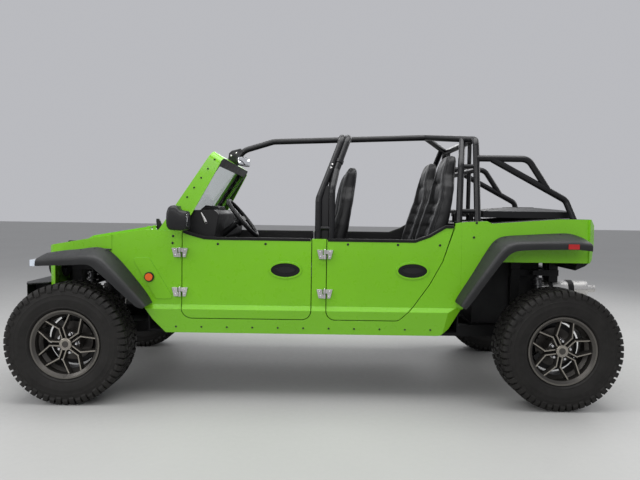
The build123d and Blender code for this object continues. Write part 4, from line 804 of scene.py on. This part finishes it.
back_pad, back_grid = padded_shell("seat_front_left_back", BACK_LEVELS, BACK_SEAMS, 0.014,
                                   lambda v, depth, across: Vector((depth, across, v)), 0.016)
cushion_pad, cushion_grid = padded_shell("seat_front_left_cushion", CUSHION_LEVELS, CUSHION_SEAMS, 0.012,
                                         lambda v, depth, across: Vector((v, across, -depth)), 0.014, -1)

back_trim = seat_trim(back_grid, "seat_front_left_back_seams")
cushion_trim = seat_trim(cushion_grid, "seat_front_left_cushion_seams")
pan = build("seat_front_left_pan", seat_pan_shape(), trim, black_paint)


def cut_short(source):
    """Mesh of a cushion piece with its front cut short, for the rear seats."""
    mesh = source.data.copy()
    for vertex in mesh.vertices:
        if vertex.co.x < CUT_FROM_X:
            vertex.co.x += REAR_CUT * (CUT_FROM_X - vertex.co.x) / (CUT_FROM_X - CUSHION_LEVELS[0][0])
    return mesh


SEAT_PIECES = {"back": back_pad, "back_seams": back_trim, "cushion": cushion_pad,
               "cushion_seams": cushion_trim, "pan": pan}
short_meshes = {part: cut_short(SEAT_PIECES[part]) for part in ("cushion", "cushion_seams", "pan")}
for seat, (shift_x, y, shift_z) in SEAT_PLACES.items():
    rear = seat.startswith("rear")
    for part, source in SEAT_PIECES.items():
        piece = same_as(source, "seat_" + seat + "_" + part, short_meshes.get(part) if rear else None)
        lean = REAR_LEAN if rear and part not in short_meshes else 0.0
        piece.location = (shift_x + lean, y, shift_z)
        bpy.context.view_layer.update()
        if part == "back":
            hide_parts("seat_" + seat)
        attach(piece, "base")

# Studs and bolts of the body sides, screws and pin ends of the door hinges

def stud(shape, at, axis, radius, slot=0):
    """Low domed head."""
    profile = ((-0.002, radius), (0.0012, radius), (0.0028, radius * 0.82), (0.0036, radius * 0.45),
               (0.0038, radius * 0.1))
    shape.turned(at, axis, profile, 18, slot)


def hex_bolt(shape, at, axis, radius):
    """Hexagon head on its washer."""
    washer = radius * 1.45
    shape.turned(at, axis, ((-0.002, washer), (0.0015, washer), (0.002, radius * 1.35)), 24)
    shape.turned(at, axis, ((0.0015, radius), (0.0075, radius), (0.0088, radius * 0.82)), 6)


BELT_STUDS = {
    # body: X and Z on the outer face
    "base": ((-0.882, 1.019), (-0.885, 0.976), (0.979, 1.037), (0.995, 1.127)),
    "door_front": ((-0.605, 0.974), (-0.31, 0.978)),
    "door_rear": ((0.2, 0.982), (0.51, 0.984), (0.77, 0.985)),
}
SILL_Z = 0.595
SKIN_SLOPE = 0.01 / (BELT_Z - SILL_Z)
SKIRT_BOLT_Z = 0.458


def side_y(z):
    """Outer face of the body side at a height."""
    if z > BELT_Z:
        return SIDE_Y - 0.01 - 0.008 * (z - BELT_Z) / (1.21 - BELT_Z)
    if z > SILL_Z:
        return SIDE_Y - SKIN_SLOPE * (z - SILL_Z)
    return SIDE_Y + 0.02 * (z - 0.415) / (0.569 - 0.415)


for side, side_name in SIDE_NAMES.items():
    for owner, places in BELT_STUDS.items():
        shape = Shape()
        for x, z in places:
            stud(shape, (x, side * side_y(z), z), (0, side, 0), 0.0075)
        if owner == "base":
            for k in range(11):
                at = (-0.86 + 0.158 * k, side * side_y(SKIRT_BOLT_Z), SKIRT_BOLT_Z)
                stud(shape, at, (0, side, 0.13), 0.006)
        body = "base" if owner == "base" else owner + "_" + side_name + "_body"
        add(owner + "_" + side_name + "_studs", shape, trim, body=body)

HINGE_SCREWS = ((0.03, 0.016), (0.026, -0.014))
for side, side_name in SIDE_NAMES.items():
    fixed = Shape()
    for end, hinge_x in HINGE_X.items():
        swung = Shape()
        for z in HINGE_Z:
            for dx, dz in HINGE_SCREWS:
                for shape, x in ((fixed, hinge_x - dx), (swung, hinge_x + dx + 0.002)):
                    stud(shape, (x, side * (SIDE_Y + 0.012), z + dz), (0, side, 0), 0.0048)
            fixed.turned((hinge_x, side * (SIDE_Y + 0.012), z), (0, 0, 1),
                         ((0.026, 0.0058), (0.0315, 0.0058), (0.0335, 0.0035)), 20)
        door = "door_" + end + "_" + side_name
        add(door + "_screws", swung, bright_steel, body=door + "_body")
    add("hinge_screws_" + side_name, fixed, bright_steel)


def on_frame(y, up, out=0.0):
    """Point of the windshield's frame by place across, up and out of its plane."""
    return FRAME_ORIGIN + Vector((0, y, 0)) + FRAME_UP * up + FRAME_OUT * out


def pillar_y(up):
    """Outer side of the frame at a height up its plane."""
    return FRAME_FOOT_Y - FRAME_TAPER * (up + 0.03)


# Studs up the windshield's pillars and along its header

PILLAR_STUDS = ((0.115, -0.034), (0.186, -0.03), (0.262, -0.032), (0.335, -0.034), (0.41, -0.036),
                (0.48, -0.039), (0.551, -0.041))
shape = Shape()
for side in SIDES:
    for up, out in PILLAR_STUDS:
        stud(shape, on_frame(side * (pillar_y(up) + 0.0003), up, out), (0, side, 0.06), 0.0058)
for k in range(6):
    stud(shape, on_frame(-0.45 + 0.18 * k, 0.562, 0.0), FRAME_OUT, 0.0055)
add("windshield_studs", shape, trim)

# Folded flange behind each pillar, wide at its foot

FLANGE_EDGE = ((0.072, -0.116), (0.16, -0.1125), (0.26, -0.1065), (0.4, -0.095), (0.5, -0.086),
               (0.562, -0.08))
FLANGE_FRONT = -0.068
FLANGE_T = 0.0018
shape = Shape()
for side in SIDES:
    for layer in (0, 1):
        rings = []
        for up, out in FLANGE_EDGE:
            y0 = side * (pillar_y(up) + 0.0006 - layer * FLANGE_T)
            y1 = y0 - side * FLANGE_T
            rings.append([on_frame(y0, up, FLANGE_FRONT), on_frame(y0, up, out), on_frame(y1, up, out),
                          on_frame(y1, up, FLANGE_FRONT)])
        # The inner layer takes the darker lime, a painted shade; the outer layer keeps the plain paint
        shape.loft(rings, layer)
    shape.pipe([on_frame(side * (pillar_y(up) - 0.0012), up, out) for up, out in FLANGE_EDGE], 0.0032, 10)
add("windshield_flanges", shape, paint, painted_shade_lime, sharp=60.0)

# Black bands inside the pillars, beside the glass

PANE_FOOT_Y, PANE_TOP_Y = 0.575, 0.54
PANE_FOOT, PANE_TOP = 0.06, 0.532
BAND = ((0.002, -0.02), (-0.0035, -0.022), (-0.0045, -0.03), (-0.0045, -0.048), (-0.003, -0.054),
        (0.002, -0.055))
shape = Shape()
for side in SIDES:
    rings = []
    for up in (0.062, 0.18, 0.3, 0.42, 0.53):
        y = PANE_FOOT_Y - (PANE_FOOT_Y - PANE_TOP_Y) * (up - PANE_FOOT) / (PANE_TOP - PANE_FOOT)
        rings.append([on_frame(side * (y + across), up, out) for across, out in BAND])
    shape.loft(rings)
add("windshield_bands", shape, seal_rubber, sharp=50.0)

# Bracket that ties the roof spine to the header

BRACKET = ((-0.652, 1.552), (-0.645, 1.598), (-0.624, 1.618), (-0.56, 1.634), (-0.535, 1.612),
           (-0.566, 1.572), (-0.588, 1.506), (-0.606, 1.508))
shape = Shape()
shape.loft([[(x + cut * (-0.6 - x), y, z + cut * (1.57 - z)) for x, z in BRACKET]
            for y, cut in ((-0.026, 0.1), (-0.022, 0.0), (0.022, 0.0), (0.026, 0.1))])
for side in SIDES:
    for x, z in ((-0.628, 1.58), (-0.59, 1.6)):
        stud(shape, (x, side * 0.026, z), (0, side, 0), 0.007, 1)
add("spine_bracket", shape, cage_paint, zinc)

# Seal round the windshield's glass

PANE_CORNERS = ((-PANE_FOOT_Y, PANE_FOOT), (PANE_FOOT_Y, PANE_FOOT),
                (PANE_TOP_Y, PANE_TOP), (-PANE_TOP_Y, PANE_TOP))
shape = Shape()
for out in (-0.028, -0.038):
    path = []
    for k, (y, up) in enumerate(PANE_CORNERS):
        for other in (PANE_CORNERS[k - 1], PANE_CORNERS[(k + 1) % 4]):
            run = Vector((other[0] - y, other[1] - up)).normalized() * 0.014
            path.append(on_frame(y + run.x, up + run.y, out))
    shape.pipe(path, 0.0085, 10, looped=True)
add("windshield_seal", shape, seal_rubber, sharp=80.0)

# Door-top seals, riding on the doors

DOOR_TOPS = {
    "front": ((-0.82, 1.0505), (-0.764, 1.0325), (-0.69, 1.0125), (-0.6, 1.0095), (-0.3, 1.0095),
              (-0.03, 1.0095)),
    "rear": ((0.076, 1.0095), (0.35, 1.0095), (0.618, 1.0095), (0.709, 1.0445), (0.806, 1.1025),
             (0.855, 1.103)),
}
SEAL = (
    # inwards, up
    (0.0105, -0.012), (0.0075, -0.01), (0.0085, 0.0045), (0.014, 0.0075), (0.034, 0.0075), (0.0395, 0.003),
    (0.0395, -0.008),
)
for side, side_name in SIDE_NAMES.items():
    for end, line in DOOR_TOPS.items():
        shape = Shape()
        shape.loft([[(x, side * (SIDE_Y - inwards), z + up) for inwards, up in SEAL] for x, z in line])
        door = "door_" + end + "_" + side_name
        add(door + "_seal", shape, seal_rubber, sharp=50.0, body=door + "_body")

# Mirrors: a rounded head on each side of the cowl, and one inside under the header

HEAD_STATIONS = (
    # X, lowest Z, highest Z, share of the full width
    (-0.8880, 1.092, 1.150, 0.62),
    (-0.8840, 1.076, 1.176, 0.80),
    (-0.8760, 1.066, 1.196, 0.92),
    (-0.8640, 1.060, 1.206, 0.98),
    (-0.8460, 1.058, 1.209, 1.00),
    (-0.8300, 1.058, 1.207, 1.00),
    (-0.8180, 1.058, 1.196, 1.00),
    (-0.8080, 1.058, 1.182, 1.00),
    (-0.7900, 1.058, 1.177, 1.00),
    (-0.7720, 1.060, 1.176, 0.98),
    (-0.7660, 1.064, 1.172, 0.95),
    (-0.7645, 1.070, 1.166, 0.90),
)
HEAD_Y = SIDE_Y + 0.086
HEAD_HALF = 0.058


def squared_ring(middle, across, up, half_across, half_up, power=0.5, count=28):
    """Ring between a circle and a rectangle."""
    ring = []
    for k in range(count):
        angle = 2 * math.pi * k / count
        c, s = math.cos(angle), math.sin(angle)
        ring.append(middle + across * half_across * math.copysign(abs(c) ** power, c)
                    + up * half_up * math.copysign(abs(s) ** power, s))
    return ring


def squared_body(shape, at, out, across, rows, slot=0, power=0.5):
    """Body of squared rings; each row is (along out, half across, half up)."""
    shape.loft([squared_ring(at + out * along, across, UPWARDS, half_across, half_up, power)
                for along, half_across, half_up in rows], slot)


SIDEWAYS = Vector((0, 1, 0))
UPWARDS = Vector((0, 0, 1))
shape = Shape()
for side in SIDES:
    shape.loft([squared_ring(Vector((x, side * HEAD_Y, (low + high) / 2)), SIDEWAYS, UPWARDS,
                             HEAD_HALF * share, (high - low) / 2) for x, low, high, share in HEAD_STATIONS])
    squared_body(shape, Vector((-0.764, side * HEAD_Y, 1.118)), Vector((1, 0, 0)), SIDEWAYS,
                 ((-0.004, 0.05, 0.044), (0.0, 0.049, 0.043), (0.0004, 0.047, 0.041)), 1)
    shape.pipe([(-0.905, side * (SIDE_Y - 0.036), 1.1), (-0.9, side * (SIDE_Y - 0.01), 1.112),
                (-0.886, side * (SIDE_Y + 0.016), 1.118), (-0.866, side * (SIDE_Y + 0.04), 1.12)], 0.0125, 16)
    shape.turned((-0.905, side * (SIDE_Y - 0.037), 1.098), (0, side, 0.3),
                 ((0, 0.022), (0.006, 0.021), (0.01, 0.015)), 24)
INSIDE_AT = Vector((-0.545, 0, 1.54))
INSIDE_ACROSS = Vector((0.326, 0.945, 0))
INSIDE_FACE = Vector((0.945, -0.326, 0))
INSIDE_ROWS = (
    # head, then glass
    ((-0.013, 0.07, 0.018), (-0.009, 0.09, 0.028), (-0.002, 0.099, 0.0335), (0.006, 0.1, 0.0345),
     (0.008, 0.0985, 0.033)),
    ((0.006, 0.0955, 0.03), (0.0092, 0.095, 0.0296), (0.0098, 0.0935, 0.0282)),
)
for slot, rows in enumerate(INSIDE_ROWS):
    squared_body(shape, INSIDE_AT, INSIDE_FACE, INSIDE_ACROSS, rows, slot, 0.4)
shape.pipe([(-0.59, 0, 1.56), (-0.574, 0, 1.556), (-0.555, 0, 1.545)], 0.006, 12)
mirror_heads = build("mirror_heads", shape, trim, mirror_glass, sharp=40.0)
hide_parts("mirrors")
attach(mirror_heads, "base")

# Dark lugs at the cowl's corners, and bright levers at the ends of the dash

shape = Shape()
for side in SIDES:
    shape.loft([squared_ring(Vector((x, side * 0.5, z)), Vector((1, 0, 0)), SIDEWAYS, half_x, 0.014)
                for x, z, half_x in ((-1.012, 1.05, 0.016), (-1.012, 1.082, 0.016), (-1.018, 1.105, 0.013),
                                     (-1.022, 1.122, 0.008))])
add("cowl_lugs", shape, trim, sharp=50.0)
shape = Shape()
LEVER = ((-0.72, 1.166, 0.003), (-0.71, 1.148, 0.0055), (-0.7, 1.128, 0.008),
         (-0.69, 1.108, 0.0095), (-0.686, 1.098, 0.007))
LEVER_FLAT = Vector((0.85, 0, 0.5))
for side in SIDES:
    shape.loft([squared_ring(Vector((x, side * 0.606, z)), LEVER_FLAT, SIDEWAYS, half, 0.005, 0.7, 16)
                for x, z, half in LEVER])
    stud(shape, (-0.688, side * 0.611, 1.105), (0, side, 0), 0.006, 1)
add("dash_levers", shape, zinc, trim, sharp=50.0)

# Gauges on the driver's pod

DIAL_R = 0.017
DIAL_Z = 1.19
MARKS_R = 0.72 * DIAL_R
shape = Shape()
for y in (-0.36, -0.24):
    shape.turned((-0.65, y, DIAL_Z), (1, 0, 0), (
        (0, DIAL_R + 0.003), (0.0105, DIAL_R + 0.003), (0.012, DIAL_R + 0.001), (0.0095, DIAL_R),
        (0.0092, 0.0005)), 32)
    for k in range(9):
        angle = math.radians(-30 + 30 * k)
        mark = (-0.6405, y + MARKS_R * math.cos(angle), DIAL_Z + MARKS_R * math.sin(angle))
        shape.turned(mark, (1, 0, 0), ((0, 0.0011), (0.0004, 0.0008)), 8, 1)
shape.slab((-0.648, -0.334, 1.176), (-0.6395, -0.266, 1.205), 0.002, 2)
add("dash_gauges", shape, dial, dial_marks, seal_rubber)

# Headlamps: bezel, inner bowl and rings

shape = Shape()
LAMP_RIM = ((-0.02, 0.0795), (0.01, 0.0795), (0.0135, 0.077), (0.0135, 0.074), (0.009, 0.069),
            (-0.01, 0.069))
LAMP_BOWL = ((-0.002, 0.04), (0.0075, 0.038), (0.0095, 0.034), (0.005, 0.028), (0.0065, 0.018),
             (0.0085, 0.004))
for side in SIDES:
    at = Vector((FRONT_X - 0.27, side * 0.335, 0.8))
    out = Vector((-1, 0, 0))
    shape.turned(at, out, LAMP_RIM, 48)
    shape.turned(at, out, LAMP_BOWL, 40, 1)
    for k in range(3):
        ring_r = 0.048 + 0.007 * k
        shape.pipe(circle(at + out * 0.0003, out, ring_r, 40), 0.0011, 6, 1, looped=True)
add("headlamp_bezels", shape, trim, chrome)

# Radiator behind the grille

shape = Shape()
for k in range(34):
    z = 0.625 + 0.0082 * k
    shape.slab((FRONT_X - 0.205, -0.235, z), (FRONT_X - 0.185, 0.235, z + 0.0034), 0.001)
shape.slab((FRONT_X - 0.184, -0.25, 0.615), (FRONT_X - 0.165, 0.25, 0.905), 0.004)
for y0, y1 in ((-0.262, -0.236), (0.236, 0.262)):
    shape.slab((FRONT_X - 0.215, y0, 0.612), (FRONT_X - 0.16, y1, 0.908), 0.006)
add("radiator", shape, black_paint)

# Bolts on the bumper

shape = Shape()
for y in (-0.34, -0.2, -0.06, 0.06, 0.2, 0.34):
    for z in (0.655, 0.592):
        stud(shape, (FRONT_X - 0.4245, y, z), (-1, 0, 0), 0.0085)
add("bumper_bolts", shape, zinc)


# Flares: rounded shells over the wheels, with a line of screws by the body

FLARE_LINES = {
    # inner edge, outer edge of the top, bottom of the lip, each from front to back in X and Z
    "front": (
        ((-1.66, 0.904), (-1.56, 0.92), (-1.454, 0.931), (-1.39, 0.941), (-1.34, 0.943), (-1.294, 0.932),
         (-1.254, 0.909), (-1.198, 0.855), (-1.112, 0.755), (-1.055, 0.683), (-1.024, 0.636),
         (-1.008, 0.606)),
        ((-1.662, 0.876), (-1.57, 0.884), (-1.47, 0.892), (-1.399, 0.898), (-1.345, 0.898), (-1.3, 0.888),
         (-1.262, 0.864), (-1.204, 0.806), (-1.122, 0.724), (-1.062, 0.663), (-1.026, 0.628),
         (-1.008, 0.606)),
        ((-1.664, 0.836), (-1.57, 0.84), (-1.47, 0.844), (-1.405, 0.848), (-1.362, 0.848), (-1.33, 0.838),
         (-1.3, 0.812), (-1.24, 0.76), (-1.156, 0.682), (-1.096, 0.628), (-1.06, 0.598), (-1.026, 0.59)),
    ),
    "rear": (
        ((0.872, 0.634), (0.884, 0.668), (0.973, 0.811), (1.04, 0.925), (1.077, 0.984), (1.102, 1.015),
         (1.136, 1.038), (1.185, 1.05), (1.3, 1.058), (1.43, 1.066), (1.56, 1.07), (1.648, 1.046)),
        ((0.876, 0.628), (0.892, 0.664), (0.99, 0.806), (1.06, 0.902), (1.098, 0.95), (1.126, 0.98),
         (1.162, 1.002), (1.21, 1.014), (1.31, 1.018), (1.43, 1.02), (1.55, 1.022), (1.646, 1.012)),
        ((0.902, 0.612), (0.928, 0.64), (1.028, 0.782), (1.096, 0.876), (1.134, 0.922), (1.156, 0.944),
         (1.184, 0.96), (1.222, 0.968), (1.316, 0.974), (1.43, 0.976), (1.55, 0.978), (1.646, 0.97)),
    ),
}
FLARE_Y = SIDE_Y - 0.006
WEB = (
    # X, top Z, Y of the inner edge of the web inside a front flare
    (-1.66, 0.9015, 0.48), (-1.56, 0.9155, 0.5195), (-1.454, 0.9285, 0.56058), (-1.36, 0.9345, 0.5985),
    (-1.262, 0.935, 0.638),
)
FLARE_EDGE_Y = 0.801
FLARE_T = 0.007
FLARE_STATIONS = 60


def eased_line(points, count):
    """Smooth run of points through the given ones."""
    line = [Vector((x, 0, z)) for x, z in points]
    result = []
    for k in range(count + 1):
        place = (len(line) - 1) * k / count
        i = min(int(place), len(line) - 2)
        t = place - i
        a, b, c, d = (line[max(i - 1, 0)], line[i], line[i + 1], line[min(i + 2, len(line) - 1)])
        result.append(0.5 * (2 * b + (c - a) * t + (2 * a - 5 * b + 4 * c - d) * t * t
                             + (3 * b - a - 3 * c + d) * t * t * t))
    return result


def flare_ring(inner, outer, lip, way):
    """Section of a flare on one side: crowned top, rounded shoulder, lip, and back again on the inside."""
    down = (lip - outer).normalized()
    ring = []
    for layer in (0, 1):
        inset = FLARE_T * layer
        edge_y = way * (FLARE_EDGE_Y - inset)
        start = Vector((inner.x, way * FLARE_Y, inner.z)) + down * inset
        corner = Vector((outer.x, edge_y, outer.z)) + down * inset
        low = Vector((lip.x, edge_y, lip.z))
        first = start.lerp(corner, 0.8)
        last = corner.lerp(low, 0.42)
        half = [start, start.lerp(corner, 0.4) - down * 0.0015, first]
        half += [first.lerp(corner, t).lerp(corner.lerp(last, t), t) for t in (0.2, 0.4, 0.6, 0.8)]
        half += [last, last.lerp(low, 0.85), low - Vector((0, way * 0.0015 * (1 - 2 * layer), 0))]
        ring += half[::-1] if layer else half
    return ring


for side, side_name in SIDE_NAMES.items():
    for end, lines in FLARE_LINES.items():
        shape = Shape()
        inner, outer, lip = (eased_line(line, FLARE_STATIONS) for line in lines)
        shape.loft([flare_ring(*places, side) for places in zip(inner, outer, lip)])
        if end == "front":
            web_y = FLARE_Y + 0.004
            shape.loft([[(x, side * web_y, z), (x, side * y, z), (x, side * y, z - 0.008),
                         (x, side * web_y, z - 0.008)] for x, z, y in WEB])
        piece = build("flare_" + end + "_" + side_name + "_shell", shape, moulded, sharp=40.0)
        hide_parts("flare_" + end + "_" + side_name)
        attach(piece, "base")
        shape = Shape()
        for k in range(4, FLARE_STATIONS - 2, 8):
            at = inner[k].lerp(outer[k], 0.14)
            up = (outer[k] - lip[k]).normalized()
            y = FLARE_Y + (FLARE_EDGE_Y - FLARE_Y) * 0.14
            stud(shape, (at.x, side * y, at.z), (up.x, side * 0.25, up.z), 0.0065)
        add("flare_" + end + "_" + side_name + "_bolts", shape, trim)

# Bolts along the frame rails

shape = Shape()
for x in (REAR_X + 0.084, REAR_X + 0.156, FRONT_X - 0.1, -0.9, -0.45, 0.0, 0.45, 0.9):
    for side in SIDES:
        hex_bolt(shape, (x, side * 0.33, 0.383), (0, side, 0), 0.009)
add("frame_bolts", shape, zinc)

# Clamps on the cab hoop, and the thin cover between its legs

shape = Shape()
SHOULDER_Z, ROOF_Z = 1.45, 1.672
for side in SIDES:
    low, high = Vector((0.126, side * 0.51, SHOULDER_Z)), Vector((0.206, side * 0.42, ROOF_Z))
    shape.turned(low.lerp(high, 0.25), high - low,
                 ((-0.013, 0.0222), (-0.011, 0.0255), (0.011, 0.0255), (0.013, 0.0222)), 28)
    low, high = Vector((0.086, side * 0.51, SHOULDER_Z)), Vector((0.168, side * 0.42, ROOF_Z))
    along = (high - low).normalized()
    outward = (SIDEWAYS * side - along * along.dot(SIDEWAYS * side)).normalized()
    for part in (0.03, 0.13):
        stud(shape, low.lerp(high, part) + outward * 0.0208, outward, 0.0062, 1)
add("cage_clamps", shape, cage_paint, zinc)

HOOP_COVER = ((0.022, 0.96), (0.092, 0.96), (0.096, 1.3), (0.098, 1.345), (0.05, 1.345), (0.02, 1.262))
shape = Shape()
for side in SIDES:
    shape.loft([[(x, side * (y - (0.02 if z > 1.33 else 0.0)), z) for x, z in HOOP_COVER]
                for y in (0.586, 0.5895)])
add("hoop_covers", shape, trim, sharp=50.0)

# Raised ribs on the deck cover

shape = Shape()
for k in range(-3, 4):
    y = k * 0.034
    shape.pipe([(REAR_X - 0.085, y, 1.2325), (REAR_X + 0.07, y, 1.2325)], 0.003, 8)
add("deck_cover_ribs", shape, trim, sharp=60.0, body="deck_cover_body")

# Catches at the hood's front edge

shape = Shape()
for side in SIDES:
    base = Vector((FRONT_X - 0.15, side * 0.36, 0.955))
    shape.slab(base - Vector((0.022, 0.016, 0.012)), base + Vector((0.034, 0.016, 0.0105)), 0.004)
add("hood_catches", shape, trim, body="hood_body")


# Camera, floor and lights

CAMERA_AT = Vector((0.0204, -3.9914, 1.1849))
CAMERA_YAW = 0.0019
CAMERA_PITCH = 0.0531
CAMERA_ROLL = 0.01466
CAMERA_LENS = 30.375


def place_camera():
    """Camera at the photograph's place and angle."""
    forward = Vector((math.sin(CAMERA_YAW) * math.cos(CAMERA_PITCH),
                      math.cos(CAMERA_YAW) * math.cos(CAMERA_PITCH),
                      -math.sin(CAMERA_PITCH)))
    right = Vector((math.cos(CAMERA_YAW), -math.sin(CAMERA_YAW), 0))
    up = right.cross(forward)
    rolled = math.cos(CAMERA_ROLL) * right + math.sin(CAMERA_ROLL) * up
    turn = Matrix((rolled, forward.cross(rolled) * -1, -forward)).transposed()
    data = bpy.data.cameras.new("camera")
    data.sensor_width = 36
    data.lens = CAMERA_LENS
    camera = bpy.data.objects.new("camera", data)
    camera.matrix_world = Matrix.Translation(CAMERA_AT) @ turn.to_4x4()
    scene.collection.objects.link(camera)
    scene.camera = camera


def area_light(name, at, target, size, power, colour=(1, 1, 1)):
    """Soft square light aimed at a point."""
    data = bpy.data.lights.new(name, "AREA")
    data.shape = "RECTANGLE"
    data.size, data.size_y = size
    data.energy = power
    data.color = colour
    light = bpy.data.objects.new(name, data)
    light.location = at
    light.rotation_euler = (Vector(target) - Vector(at)).to_track_quat("-Z", "Y").to_euler()
    scene.collection.objects.link(light)


def studio():
    """Pale floor, soft lights and a pale surround."""
    floor_mesh = bpy.data.meshes.new("floor")
    reach = 40.0
    floor_mesh.from_pydata([(-reach, -reach, 0), (reach, -reach, 0), (reach, reach, 0), (-reach, reach, 0)],
                           [], [(0, 1, 2, 3)])
    floor_mesh.materials.append(look("floor_pale", (0.4, 0.4, 0.39), 0.55, 120, 0.00005, shade=0.03,
                                     blotch=0.8, round_edges=0))
    floor = bpy.data.objects.new("floor", floor_mesh)
    scene.collection.objects.link(floor)
    world = bpy.data.worlds.new("surround")
    world.use_nodes = True
    background = world.node_tree.nodes["Background"]
    background.inputs["Color"].default_value = (0.94, 0.95, 1.0, 1)
    background.inputs["Strength"].default_value = 0.52
    scene.world = world
    area_light("ceiling", (0, -0.6, 4.4), (0, 0, 0.6), (6.0, 3.4), 235)
    area_light("near_side", (-1.0, -5.2, 3.2), (0, 0, 0.7), (5.0, 2.0), 80)
    area_light("front_end", (-5.0, -2.0, 2.6), (-1, 0, 0.6), (2.4, 2.0), 60)
    area_light("tail_end", (5.0, 1.5, 2.8), (1, 0, 0.8), (2.4, 2.0), 60)
    area_light("far_side", (0.5, 5.0, 3.4), (0, 0, 0.8), (5.0, 2.0), 80)
    scene.view_settings.view_transform = "Standard"


place_camera()
studio()
